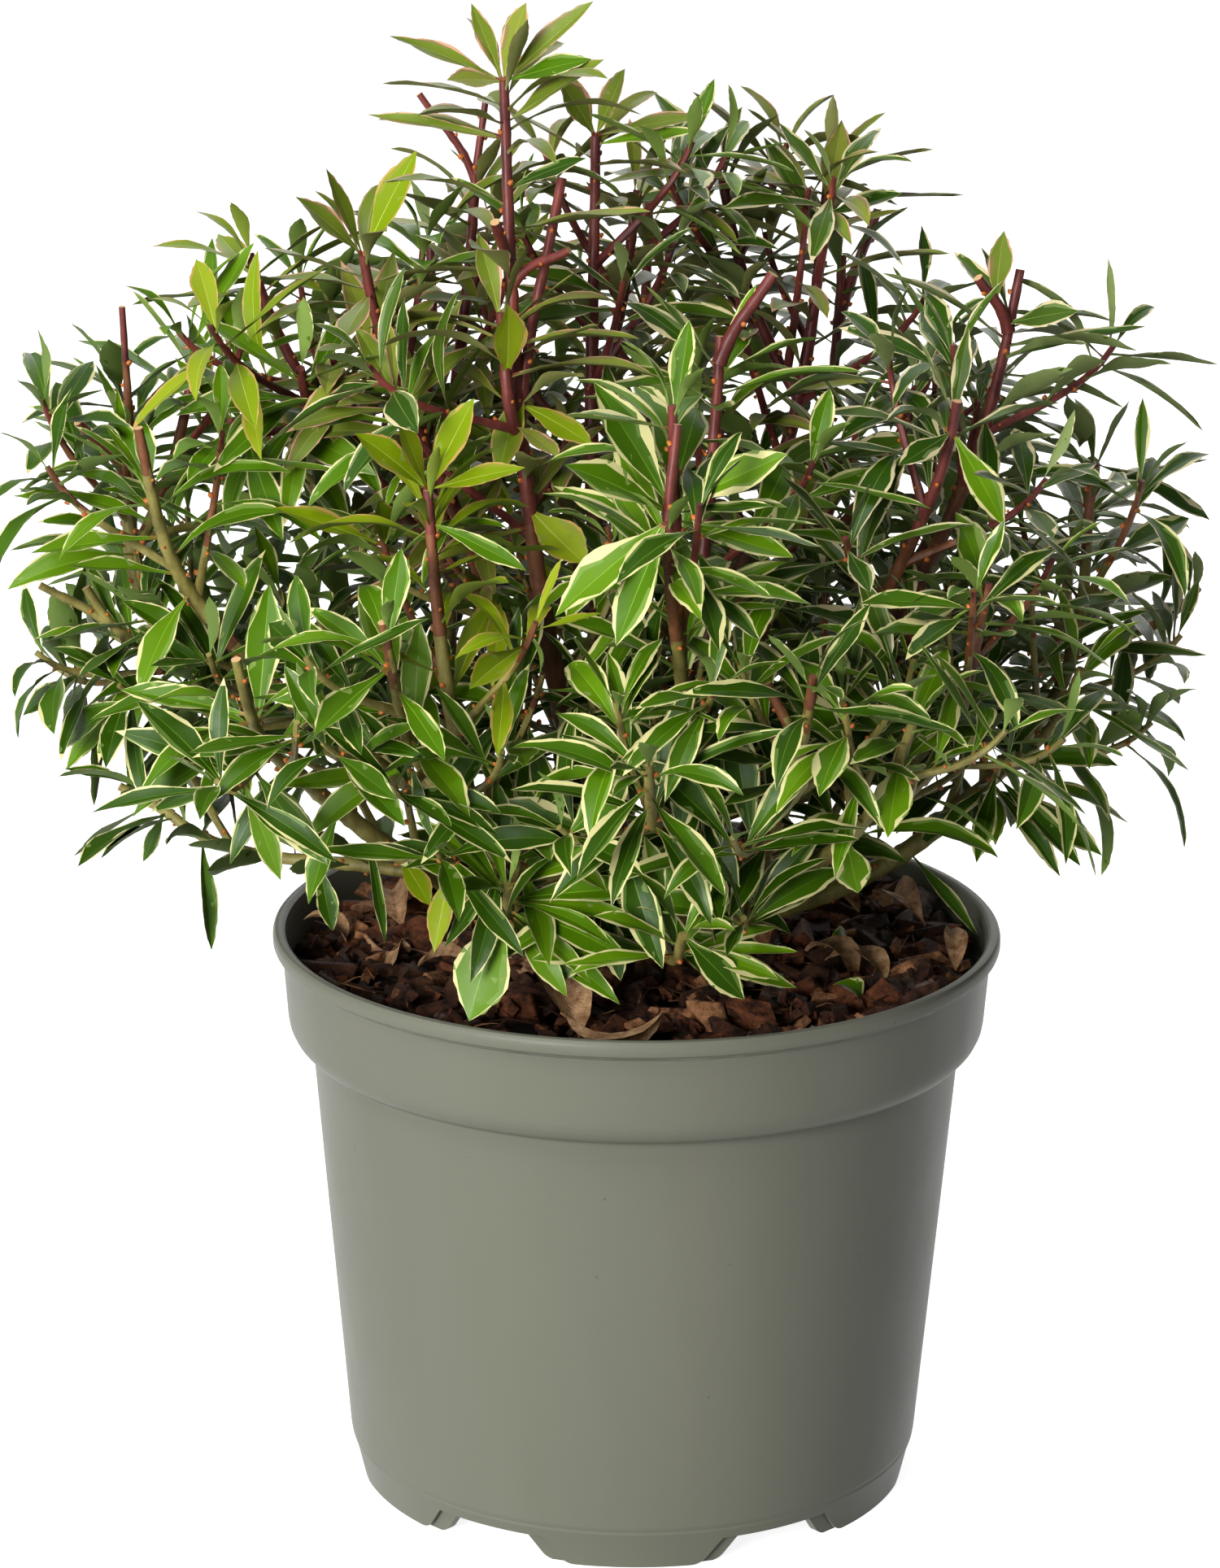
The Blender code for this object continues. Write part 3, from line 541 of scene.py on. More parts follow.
# %% Tables of limbs, in millimetres
CROWN_BOUGHS = {
    "leader_bough": (-128, 62, (-25, -38, 250), 3.0, 2.5),
    "middle_bough": (120, 74, (-12, 8, 262), 3.0, 2.3),
    "right_upright_bough": (-12, 38, (72, -18, 250), 3.4, 2.5),
    "right_low_bough": (12, -2, (104, 10, 202), 3.0, 2.1),
    "front_bough": (-78, 40, (10, -62, 222), 2.9, 2.2),
    "left_front_bough": (-146, 12, (-84, -52, 204), 3.1, 2.2),
    "left_upright_bough": (-176, 36, (-108, -26, 238), 3.0, 2.2),
    "back_left_bough": (139, 30, (-72, 68, 226), 2.9, 2.1),
    "back_bough": (93, 36, (-4, 84, 232), 2.9, 2.1),
    "back_right_bough": (48, 30, (72, 70, 224), 2.9, 2.1),
}
SIDE_BOUGHS = {
    "right_crown_bough": ("middle_bough", 0.22, (34, 28, 258), 2.5, 2.1),
    "centre_bough": ("front_bough", 0.20, (14, -36, 244), 2.4, 2.1),
    "right_front_bough": ("right_upright_bough", 0.22, (70, -50, 204), 2.4, 2.0),
    "low_front_bough": ("front_bough", 0.05, (44, -68, 188), 2.4, 1.9),
    "left_lime_bough": ("left_front_bough", 0.20, (-44, -66, 214), 2.4, 2.0),
    "left_far_bough": ("left_upright_bough", 0.34, (-124, 2, 230), 2.3, 2.0),
    "left_high_bough": ("middle_bough", 0.38, (-66, 12, 262), 2.4, 2.1),
    "right_back_bough": ("back_right_bough", 0.24, (106, 50, 204), 2.3, 2.0),
    "left_back_bough": ("back_left_bough", 0.24, (-110, 50, 204), 2.3, 2.0),
}
# Masses: bough, place along it, the stem's tip, further shoots' tips, bare length at the tip, tint
# Of the tints, deep is partly painted shade and greyish is painted shade and sheen, given by where a mass
# stands
MASSES = {
    "leader_foliage": ("leader_bough", 1.0, (-34, -25, 366), [(-34, -40, 312)], 0, "blushed"),
    "middle_top_foliage": ("middle_bough", 1.0, (-12, 18, 346), [(-2, 32, 330)], 0, "blushed"),
    "left_crown_foliage": ("left_high_bough", 0.72, (-43, 28, 336), [], 6, "blushed"),
    "right_crown_foliage": ("right_crown_bough", 1.0, (48, 44, 336), [(22, 50, 332)], 0, "blushed"),
    "right_top_foliage": ("right_upright_bough", 1.0, (94, 0, 316), [], 9, "greyish"),
    "right_middle_foliage": ("right_upright_bough", 0.74, (76, -44, 292), [], 3, "greyish"),
    "right_inner_foliage": ("right_crown_bough", 0.62, (78, 36, 296), [], 3, "deep"),
    "right_far_foliage": ("right_low_bough", 1.0, (117, 20, 262), [], 0, "greyish"),
    "right_low_foliage": ("right_low_bough", 0.70, (110, -18, 218), [], 0, "fresh"),
    "right_front_foliage": ("right_front_bough", 1.0, (84, -52, 248), [], 0, "fresh"),
    "low_right_foliage": ("low_front_bough", 1.0, (64, -86, 224), [], 0, "fresh"),
    "front_right_foliage": ("low_front_bough", 0.66, (40, -100, 238), [], 0, "deep"),
    "centre_foliage": ("centre_bough", 1.0, (19, -28, 304), [], 4, "fresh"),
    "rosette_foliage": ("front_bough", 1.0, (6, -94, 274), [(7, -90, 300)], 0, "fresh"),
    "low_rosette_foliage": ("front_bough", 0.60, (2, -114, 222), [], 0, "deep"),
    "front_foot_foliage": ("front_bough", 0.24, (10, -88, 172), [], 0, "fresh"),
    "low_left_foliage": ("left_lime_bough", 0.20, (-32, -76, 180), [], 0, "fresh"),
    "lime_foliage": ("left_lime_bough", 1.0, (-51, -68, 274), [], 3, "lime"),
    "lime_front_foliage": ("left_lime_bough", 0.62, (-60, -98, 250), [], 3, "fresh"),
    "left_front_foliage": ("left_front_bough", 1.0, (-96, -80, 236), [], 12, "fresh"),
    "left_bottom_foliage": ("left_front_bough", 0.52, (-124, -12, 186), [], 0, "fresh"),
    "left_slope_foliage": ("left_upright_bough", 1.0, (-122, -44, 284), [], 14, "fresh"),
    "left_outer_foliage": ("left_far_bough", 0.58, (-138, -4, 234), [], 14, "fresh"),
    "left_far_foliage": ("left_far_bough", 1.0, (-130, 4, 280), [(-116, 20, 288)], 8, "fresh"),
    "left_upper_foliage": ("left_high_bough", 1.0, (-98, 16, 316), [(-84, -22, 296)], 0, "lime"),
    "left_top_foliage": ("left_high_bough", 0.50, (-68, -18, 322), [], 0, "blushed"),
    "back_left_foliage": ("back_left_bough", 1.0, (-96, 86, 262), [], 0, "deep"),
    "back_left_top_foliage": ("back_left_bough", 0.66, (-56, 76, 308), [], 0, "greyish"),
    "back_foliage": ("back_bough", 1.0, (-8, 114, 264), [], 0, "fresh"),
    "back_top_foliage": ("back_bough", 0.60, (2, 84, 318), [], 4, "blushed"),
    "back_low_left_foliage": ("back_bough", 0.80, (-50, 110, 224), [], 0, "greyish"),
    "back_low_right_foliage": ("back_bough", 0.44, (48, 110, 222), [], 0, "deep"),
    "back_right_foliage": ("back_right_bough", 1.0, (92, 86, 262), [], 0, "fresh"),
    "back_right_top_foliage": ("back_right_bough", 0.60, (54, 84, 304), [], 0, "deep"),
    "right_back_foliage": ("right_back_bough", 1.0, (116, 56, 238), [], 0, "greyish"),
    "left_back_foliage": ("left_back_bough", 1.0, (-124, 54, 236), [], 0, "fresh"),
}
print(len(CROWN_BOUGHS) + len(SIDE_BOUGHS), "boughs and", len(MASSES), "masses")

# %% Twigs and bare stubs by mass
TWIG_COUNTS = {
    "leader_foliage": 1, "rosette_foliage": 1, "centre_foliage": 2, "right_top_foliage": 3,
    "left_far_foliage": 3, "left_slope_foliage": 2, "left_front_foliage": 2, "lime_foliage": 2,
    "low_rosette_foliage": 3, "front_foot_foliage": 2, "low_left_foliage": 2,
    "left_outer_foliage": 3, "left_upper_foliage": 3, "right_far_foliage": 3, "right_back_foliage": 2,
    "left_back_foliage": 2, "back_left_foliage": 2, "back_right_foliage": 2, "back_right_top_foliage": 3,
}
# Pruned stubs with no leaves: place along the mass's stem, the stub's tip in millimetres, its radius
STUBS = {
    "leader_foliage": [
        (0.62, (-36, -39, 341), 1.5), (0.60, (-18, -38, 334), 1.2), (0.34, (-20, -22, 349), 1.4),
    ],
    "left_crown_foliage": [(0.97, (-57, 28, 362), 1.0), (0.96, (-40, 30, 361), 1.0)],
    "centre_foliage": [(0.90, (32, -30, 327), 1.7)],
    "rosette_foliage": [(0.96, (8, -93, 303), 1.3)],
    "left_far_foliage": [(0.70, (-131, 0, 312), 1.0), (0.62, (-142, -8, 284), 1.4)],
    "left_outer_foliage": [(0.80, (-153, -6, 241), 1.2)],
    "left_bottom_foliage": [(0.85, (-133, -14, 190), 1.3)],
    "right_top_foliage": [(0.80, (84, -6, 322), 1.5)],
    "front_right_foliage": [(0.70, (30, -92, 240), 1.4)],
    "back_right_top_foliage": [(0.85, (64, 92, 322), 1.5)],
    "back_left_foliage": [(0.80, (-108, 92, 276), 1.5)],
}
print("stubs:", sum(len(some) for some in STUBS.values()))

# %% Paths of limbs
MEDIUM_TOP = 0.1400
GAP = 0.0003
CROWN_PLACE = (-0.002, -0.004)
KNOB_HEIGHT = 0.0110
CROWN_REACH = 0.0165
FORK_ANGLE = math.radians(44.0)
STRAIGHT_END = 0.0030
BEND_PULL = 0.36
UPTURN = 0.9
SHOOT_FORK = 0.30
STEM_RADII = (0.0019, 0.0012)
SHOOT_RADII = (0.0016, 0.0012)
BOUGH_SLIM = 0.90
ONWARD = 0.007


def cubic_point(points, t):
    """A point of a cubic curve from its four guide points."""
    first, second, third, last = points
    near = (1.0 - t) ** 3 * first + 3.0 * (1.0 - t) ** 2 * t * second
    return near + 3.0 * (1.0 - t) * t ** 2 * third + t ** 3 * last


def limb_path(start, start_way, end, end_way, bends, straight_end=True):
    """A limb's points: straight out of its seat, one smooth bend, and straight at its end."""
    leave = start + STRAIGHT_END * start_way
    arrive = end - STRAIGHT_END * end_way if straight_end else end
    pull = BEND_PULL * (arrive - leave).length
    guide = (leave, leave + pull * start_way, arrive - pull * end_way, arrive)
    points = [start]
    points += [cubic_point(guide, step / bends) for step in range(bends + 1)]
    if straight_end:
        points.append(end)
    return points


def run_of(path):
    """A path's length."""
    return sum((b - a).length for a, b in zip(path, path[1:]))


def place_on(path, share):
    """The point and the direction at a share of a path's length."""
    left = share * run_of(path)
    for a, b in zip(path, path[1:]):
        length = (b - a).length
        if left <= length:
            return a.lerp(b, left / length), (b - a).normalized()
        left -= length
    return path[-1].copy(), (path[-1] - path[-2]).normalized()


def way_from_angles(azimuth, rise):
    """A direction from its turn about the pot's axis and its rise, in degrees."""
    azimuth, rise = math.radians(azimuth), math.radians(rise)
    flat = math.cos(rise)
    return Vector((flat * math.cos(azimuth), flat * math.sin(azimuth), math.sin(rise)))


def fork_way(tangent, target):
    """The way of a side limb: the fork angle off its parent, turned towards its target."""
    side = (target - target.dot(tangent) * tangent).normalized()
    return math.cos(FORK_ANGLE) * tangent + math.sin(FORK_ANGLE) * side


def shoot_end_way(start, tip):
    """A shoot turns up at its tip."""
    return ((tip - start).normalized() + Vector((0.0, 0.0, UPTURN))).normalized()


print("path helpers ready")

# %% Boughs and stems as paths
def plan_boughs():
    """Each bough's path and radii, from the root crown outwards."""
    knob = Vector((*CROWN_PLACE, MEDIUM_TOP + GAP + KNOB_HEIGHT))
    tips = {row[0]: Vector(row[2]) * MM for row in MASSES.values() if row[1] == 1.0}
    made = {}
    for name, (azimuth, rise, end, base, last) in CROWN_BOUGHS.items():
        way = way_from_angles(azimuth, rise)
        end = Vector(end) * MM
        start = knob + CROWN_REACH * way
        end_way = ((end - start).normalized() + (tips[name] - end).normalized()).normalized()
        path = limb_path(start, way, end, end_way, 24)
        made[name] = ([knob + 0.2 * CROWN_REACH * way] + path, (base * MM, BOUGH_SLIM * last * MM))
    for name, (parent, share, end, base, last) in SIDE_BOUGHS.items():
        end = Vector(end) * MM
        fork, tangent = place_on(made[parent][0][1:], share)
        way = fork_way(tangent, end - fork)
        end_way = ((end - fork).normalized() + (tips[name] - end).normalized()).normalized()
        radii = (BOUGH_SLIM * base * MM, BOUGH_SLIM * last * MM)
        made[name] = (limb_path(fork, way, end, end_way, 20), radii)
    return made


def plan_stems(boughs):
    """Each mass's stem and further shoots as paths."""
    made = {}
    for name, (parent, share, tip, more, *others) in MASSES.items():
        tip = Vector(tip) * MM
        path = boughs[parent][0]
        if share >= 1.0:
            start, way = path[-1], (path[-1] - path[-2]).normalized()
        else:
            start, tangent = place_on(path, share)
            way = fork_way(tangent, tip - start)
        end_way = shoot_end_way(start, tip)
        path = limb_path(start, way, tip, end_way, 16, False)
        shoots = [(path + [tip + ONWARD * end_way], STEM_RADII)]
        for further in more:
            further = Vector(further) * MM
            fork, tangent = place_on(shoots[0][0], SHOOT_FORK)
            aim = fork_way(tangent, further - fork)
            end_way = shoot_end_way(fork, further)
            path = limb_path(fork, aim, further, end_way, 12, False)
            shoots.append((path + [further + ONWARD * end_way], SHOOT_RADII))
        made[name] = shoots
    return made


boughs = plan_boughs()
stems = plan_stems(boughs)
print("boughs:", round(sum(run_of(path) for path, radii in boughs.values()), 2), "m of limb")

# %% [markdown]
# ## Twigs by rule
# A mass has one stem, and twigs leave it at a golden-angle turn from each other, shorter towards the
# tip, as buds do on a real shoot.  The CAD has two twigs to a stem; here there are more and finer ones,
# and the boughs' upper halves carry some too, which fills the crown's inside.  A twig that would pass
# close to another limb, or leave the crown's outline, is left out.

# %% Finer twigs
GOLDEN_ANGLE = math.radians(137.508)
FULL_TURN = 2.0 * math.pi
SEED = 43
TWIG_SHARES = (0.10, 0.28, 0.46, 0.64)
TWIG_REACH = (0.044, 0.026)
TWIG_RADII = (0.0011, 0.0008)
TWIG_LIFT = 0.006
TWIG_FLOOR = 0.020
INNER_SHARES = (0.34, 0.46, 0.58, 0.70, 0.82)
INNER_REACH = 0.036
TWIG_TRIES = 5
TWIG_ROOM = 0.0035
CROWN_LIMITS = (-0.160, 0.148, 0.146)
LOWEST = 0.148
FRONT_FLOOR = 0.149
RIM_FLOOR = 0.163


def part_way(pair, share):
    """The value at a share of the way from a pair's first to its second."""
    return pair[0] + (pair[1] - pair[0]) * share


def in_reach(point):
    """True inside the crown's furthest reach to each side, over the mulch."""
    left, right, deep = CROWN_LIMITS
    return left < point.x < right and abs(point.y) < deep and point.z > LOWEST


def limb_points(limbs):
    """Points every 2 mm along limbs, with the limb's radius there."""
    places = []
    reach = []
    for path, radii in limbs:
        steps = max(2, int(run_of(path) / 0.002))
        for step in range(steps + 1):
            places.append(place_on(path, step / steps)[0][:])
            reach.append(radii[0] + (radii[1] - radii[0]) * step / steps)
    return np.array(places), np.array(reach)


def clear_of(points, places, reach, room):
    """True where no point comes nearer to a limb's surface than room."""
    for point in points:
        gaps = np.linalg.norm(places - np.array(point[:]), axis=1) - reach
        if gaps.min() < room:
            return False
    return True


def crown_floor(point):
    """The lowest that leaves hang: over the mulch in front, higher towards the crown's rim."""
    if -0.050 < point.x < 0.040 and point.y < -0.030:
        return FRONT_FLOOR + 0.8 * max(0.0, -point.y - 0.078)
    return RIM_FLOOR + 0.30 * abs(point.y)


def grow_twig(main, share, reach, turn, chance):
    """A twig off a limb, turned until it runs clear of all others; the last turn is given back too."""
    fork, tangent = place_on(main, share)
    for attempt in range(TWIG_TRIES):
        turn += GOLDEN_ANGLE
        out = Matrix.Rotation(turn, 3, tangent) @ tangent.orthogonal().normalized()
        way = (0.72 * tangent + 0.69 * out).normalized()
        tip = fork + reach * chance.uniform(0.8, 1.15) * way + Vector((0.0, 0.0, TWIG_LIFT))
        path = limb_path(fork, way, tip, shoot_end_way(fork, tip), 7, False)
        probes = [place_on(path, step / 6.0)[0] for step in range(3, 7)]
        inside = all(in_reach(point) and point.z > crown_floor(point) + TWIG_FLOOR for point in probes)
        if inside and clear_of(probes, limb_places, limb_reach, TWIG_ROOM):
            return path, turn
    return None, turn


def keep_twig(name, path):
    """The twig joins its mass, and later twigs keep clear of it."""
    global limb_places, limb_reach
    twigs[name].append((path, TWIG_RADII))
    new_places, new_reach = limb_points([(path[3:], TWIG_RADII)])
    limb_places = np.vstack((limb_places, new_places))
    limb_reach = np.concatenate((limb_reach, new_reach))


all_limbs = list(boughs.values()) + [shoot for shoots in stems.values() for shoot in shoots]
limb_places, limb_reach = limb_points(all_limbs)
twigs = {name: [] for name in stems}
for name, shoots in stems.items():
    chance = random.Random(f"{SEED} twigs {name}")
    for main, radii in shoots:
        turn = chance.uniform(0.0, FULL_TURN)
        for share in TWIG_SHARES[:TWIG_COUNTS.get(name, len(TWIG_SHARES))]:
            reach = part_way(TWIG_REACH, share)
            path, turn = grow_twig(main, share, reach, turn, chance)
            if path:
                keep_twig(name, path)
end_masses = {row[0]: name for name, row in MASSES.items() if row[1] == 1.0}
for bough, (path, radii) in boughs.items():
    chance = random.Random(f"{SEED} inner twigs {bough}")
    turn = chance.uniform(0.0, FULL_TURN)
    for share in INNER_SHARES:
        inner, turn = grow_twig(path, share, INNER_REACH, turn, chance)
        if inner:
            keep_twig(end_masses[bough], inner)
print("twigs:", sum(len(some) for some in twigs.values()))

# %% Pruned stubs
stubs = {}
for name, some in STUBS.items():
    main = stems[name][0][0]
    stubs[name] = []
    for share, tip, radius in some:
        start, tangent = place_on(main, share)
        tip = Vector(tip) * MM
        way = ((tip - start).normalized() + 0.5 * tangent).normalized()
        path = limb_path(start, way, tip, (tip - start).normalized(), 6, False)
        stubs[name].append((path, (radius * MM, 0.85 * radius * MM)))
print("paths of stubs:", sum(len(some) for some in stubs.values()))

# %% [markdown]
# ## Stems with their bark
# Young wood is smooth and shiny, red-brown at the top and olive green low down, with an orange bud scar
# every few millimetres where a leaf fell.  A curve with a round bevel would be quick, but has no scars.
# So each limb is a tube of rings that swells at every scar, and its bark runs in low ridges along it.

# %% Bark finishes
def bark_material(name, dark, light, roughness):
    """Fine ridges along the limb and blotches of a darker tone."""
    made = plain_material(name, light, roughness, gloss=0.30)
    tree = made.node_tree
    tone = noise_pattern(tree, 160.0, 5.0, 0.65, (1.0, 1.0, 0.45))
    colours = ramp(tree, tone, [(0.32, dark), (0.66, light)])
    rough = between(tree, tone, roughness - 0.12, roughness + 0.15)
    ridges = noise_pattern(tree, 900.0, 3.0, 0.6, (1.0, 1.0, 0.22))
    surface = bump(tree, ridges, 0.35, 0.0003)
    return patterned(made, base_color=colours, roughness=rough, normal=surface)


BARKS = {
    "old": bark_material("old_bark", (58, 36, 26), (114, 76, 52), 0.58),
    "red": bark_material("red_bark", (70, 31, 31), (122, 60, 53), 0.42),
    "brown": bark_material("brown_bark", (78, 46, 30), (132, 84, 56), 0.48),
    "olive": bark_material("olive_bark", (92, 84, 40), (152, 142, 80), 0.45),
}
scar_finish = plain_material("bud_scar_orange", (176, 96, 34), 0.5)
cut_finish = plain_material("cut_wood", (196, 158, 112), 0.75)
print("barks:", list(BARKS))

# %% Tubes that swell at their scars
SCAR_STEP = 0.0062
SCAR_SWELL = 0.13
SCAR_LENGTH = 0.0009
FLARE_LENGTH = 0.004


def scar_runs(length, chance):
    """Distances along a limb at which a leaf once stood."""
    runs = []
    at = chance.uniform(0.004, 0.008)
    while at < length - 0.003:
        runs.append(at)
        at += SCAR_STEP * chance.uniform(0.75, 1.3)
    return runs


def limb_frames(path, step):
    """Evenly spaced points with a forward and a sideways direction that doesn't twist."""
    length = run_of(path)
    count = max(3, int(round(length / step)))
    frames = []
    side = None
    for index in range(count + 1):
        point, way = place_on(path, index / count)
        if side is None:
            side = way.orthogonal().normalized()
        side = (side - side.dot(way) * way).normalized()
        frames.append((point, way, side, length * index / count))
    return frames, length


def tube(heap, path, radii, kind, sides, step, relief, scars, flare=0.0, cut=None):
    """A limb goes into the heap: rings of points and closed ends; kind gives a point's finish."""
    frames, length = limb_frames(path, step)
    points = []
    for point, way, side, run in frames:
        radius = radii[0] + (radii[1] - radii[0]) * run / length
        radius *= 1.0 + SCAR_SWELL * sum(math.exp(-((run - scar) / SCAR_LENGTH) ** 2) for scar in scars)
        radius *= 1.0 + flare * math.exp(-run / FLARE_LENGTH)
        across = way.cross(side)
        for index in range(sides):
            turn = FULL_TURN * index / sides
            out = math.cos(turn) * side + math.sin(turn) * across
            ridge = noise.noise(Vector((out.x * 2.2, out.y * 2.2, run * 90.0)) + point * 40.0)
            points.append((point + out * radius * (1.0 + relief * ridge))[:])
    faces = []
    kinds = []
    for ring in range(len(frames) - 1):
        for index in range(sides):
            low = ring * sides
            onward = (index + 1) % sides
            faces.append((low + index, low + onward, low + sides + onward, low + sides + index))
            kinds.append(kind(Vector(points[low + index])))
    last = (len(frames) - 1) * sides
    faces.append(tuple(reversed(range(sides))))
    kinds.append(kind(frames[0][0]))
    faces.append(tuple(range(last, last + sides)))
    kinds.append(kind(frames[-1][0]) if cut is None else cut)
    heap.add(*shape_arrays(points, faces, kinds))


def bud_shape():
    """A pointed bud: a ring of six, pulled to a tip, with a flat back."""
    ring = [(0.0, math.cos(math.pi * i / 3.0), math.sin(math.pi * i / 3.0)) for i in range(6)]
    belly = [(0.9, 0.8 * y, 0.8 * z) for x, y, z in ring]
    points = ring + belly + [(1.7, 0.0, 0.0)]
    faces = [(i, (i + 1) % 6, 6 + (i + 1) % 6, 6 + i) for i in range(6)]
    faces += [(6 + i, 6 + (i + 1) % 6, 12) for i in range(6)]
    faces.append(tuple(reversed(range(6))))
    return shape_arrays(points, faces, [0] * len(faces))


BUD = bud_shape()
BUD_SIZE = 0.00062


def add_buds(heap, path, radii, scars, chance):
    """A bud or scar on the limb at each run, a golden angle round from the last."""
    length = run_of(path)
    turn = chance.uniform(0.0, FULL_TURN)
    for scar in scars:
        share = scar / length
        point, way = place_on(path, share)
        turn += GOLDEN_ANGLE
        out = Matrix.Rotation(turn, 3, way) @ way.orthogonal().normalized()
        radius = part_way(radii, share)
        aim = (out + 0.7 * way).normalized()
        size = BUD_SIZE * chance.uniform(0.75, 1.35)
        points = placed(BUD[0], point + out * radius * 1.02, aim, way, size)
        heap.add(points, *BUD[1:])


print("tube and bud helpers ready")

# %% Old wood: the boughs
BROWN_BOUGHS = ("leader_bough", "middle_bough", "right_upright_bough", "right_crown_bough", "centre_bough")
# The height at which the bark turns from green, for the brown boughs and for the others
TURNS_BROWN = {True: 0.150, False: 0.225}


def bough_bark(name):
    """Boughs are green at their foot; the brown ones turn brown much lower than the others."""
    turning = TURNS_BROWN[name in BROWN_BOUGHS]
    return lambda point: 0 if point.z + 0.016 * noise.noise(point * 120.0) > turning else 1


wood = Heap()
buds = Heap()
for name, (path, radii) in boughs.items():
    chance = random.Random(f"{SEED} bark {name}")
    scars = scar_runs(run_of(path), chance)
    tube(wood, path, radii, bough_bark(name), 14, 0.0016, 0.16, scars, 0.35)
    add_buds(buds, path, radii, scars[3:], chance)
old_wood = wood.to_object("boughs_bark", [BARKS["old"], BARKS["olive"]])
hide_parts(*CROWN_BOUGHS, *SIDE_BOUGHS)
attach(old_wood, "root")

# %% [markdown]
# ## The root crown
# All boughs leave one short woody stem that flares into the mulch.  It is a cone to begin with: its top
# is drawn up twice and narrowed, and once it is subdivided its points are pushed about for old bark.

# %% Root crown
CROWN_FOOT = 0.0165
CROWN_WAIST = 0.0095
CROWN_RELIEF = 0.14

nothing_selected()
ground = MEDIUM_TOP + GAP
bpy.ops.mesh.primitive_cone_add(vertices=32, radius1=CROWN_FOOT, radius2=CROWN_WAIST, depth=KNOB_HEIGHT,
                                location=(*CROWN_PLACE, ground + KNOB_HEIGHT / 2.0))
crown = bpy.context.object
crown.name = "root_crown_bark"
bpy.ops.object.transform_apply(location=True, rotation=True, scale=True)
bpy.ops.object.mode_set(mode="EDIT")
pick(crown, lambda face: face.normal.z > 0.9, "FACE")
bpy.ops.mesh.extrude_region_move(TRANSFORM_OT_translate={"value": (0.0, 0.0, 0.004)})
centre = (*CROWN_PLACE, ground + KNOB_HEIGHT + 0.004)
bpy.ops.transform.resize(value=(0.96, 0.96, 1.0), center_override=centre)
bpy.ops.mesh.extrude_region_move(TRANSFORM_OT_translate={"value": (0.0, 0.0, 0.0035)})
bpy.ops.transform.resize(value=(0.6, 0.6, 1.0), center_override=centre)
bpy.ops.mesh.select_all(action="SELECT")
bpy.ops.mesh.subdivide(number_cuts=3, smoothness=0.4)
bm = bmesh.from_edit_mesh(crown.data)
for vert in bm.verts:
    away = Vector((vert.co.x - CROWN_PLACE[0], vert.co.y - CROWN_PLACE[1], 0.0))
    if vert.co.z > ground + 0.0004:
        ridge = noise.noise(Vector((vert.co.x * 420.0, vert.co.y * 420.0, vert.co.z * 90.0)))
        vert.co += away * CROWN_RELIEF * ridge
bmesh.update_edit_mesh(crown.data)
smooth_finish(crown, BARKS["old"], 50.0)
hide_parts("root_crown")
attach(crown, "root")
print("root crown faces:", len(crown.data.polygons))

# %% Young wood: stems, shoots and twigs
RED_ABOVE = 0.262
BROWN_ABOVE = 0.240
LEFT_DROP = 0.030


def bark_of(chance):
    """Bark by place: red-brown at the top of the crown, green near its foot and at its left."""
    shift = 0.012 * chance.uniform(-1.0, 1.0)

    def kind_at(point):
        height = point.z + shift + 0.010 * noise.noise(point * 260.0)
        height -= LEFT_DROP * min(1.0, max(0.0, (-0.060 - point.x) / 0.040))
        if height > RED_ABOVE:
            return 0
        return 1 if height > BROWN_ABOVE else 2
    return kind_at


young = Heap()
for name, shoots in stems.items():
    chance = random.Random(f"{SEED} wood {name}")
    bare = MASSES[name][4] * MM
    cut_limbs = stubs.get(name, [])
    for order, (path, radii) in enumerate(shoots + twigs[name] + cut_limbs):
        is_cut = order >= len(shoots) + len(twigs[name]) or (bare > 0.0 and order == 0)
        is_twig = len(shoots) <= order < len(shoots) + len(twigs[name])
        kind = bark_of(chance)
        scars = scar_runs(run_of(path), chance)
        sides = 7 if is_twig else 10
        step = 0.0030 if is_twig else 0.0018
        tube(young, path, radii, kind, sides, step, 0.08, scars, 0.25, 3 if is_cut else None)
        add_buds(buds, path, radii, scars, chance)
young_wood = young.to_object("young_stems_bark", [BARKS["red"], BARKS["brown"], BARKS["olive"], cut_finish])
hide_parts(*MASSES)
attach(young_wood, "root")
bud_piece = buds.to_object("bud_scars", [scar_finish])
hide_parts(*MASSES, *CROWN_BOUGHS, *SIDE_BOUGHS)
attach(bud_piece, "root")

# %% [markdown]
# ## A leaf
# A pieris leaf is a narrow paddle, about 36 by 8 mm, that tapers to a short stalk and a sharp tip.
# It folds a little along its pale rib, arches over, and has a fine-toothed cream edge of uneven width
# with grey-green patches beside it.  A picture of a leaf on a flat card would be cheap, but has neither
# edge nor thickness.  So each leaf is a closed blade: six strips of faces across the top, two below.

# %% Leaf outline
LEAF_LENGTH = 0.0365
LEAF_WIDTH = 0.0100
LEAF_THICKNESS = 0.00042
ROWS = (0.0, 0.07, 0.21, 0.36, 0.51, 0.66, 0.80, 0.92)
HALF_WIDTHS = (0.11, 0.12, 0.36, 0.68, 0.95, 0.97, 0.68, 0.29)
BLADE, MARGIN, RIB, PATCH, UNDER, OTHER_BLADE, STALK = range(7)
DROOPS = (0.12, 0.42, 0.72, 1.05)


def centre_line(droop):
    """The rib's points and slopes, from the stalk to the tip, in leaf lengths."""
    line = []
    x = z = run = 0.0
    for share in ROWS + (1.0,):
        slope = 0.35 * droop - droop * ((share + run) / 2.0) ** 1.15
        x += (share - run) * math.cos(slope)
        z += (share - run) * math.sin(slope)
        run = share
        line.append((x, z, 0.35 * droop - droop * share ** 1.15))
    return line


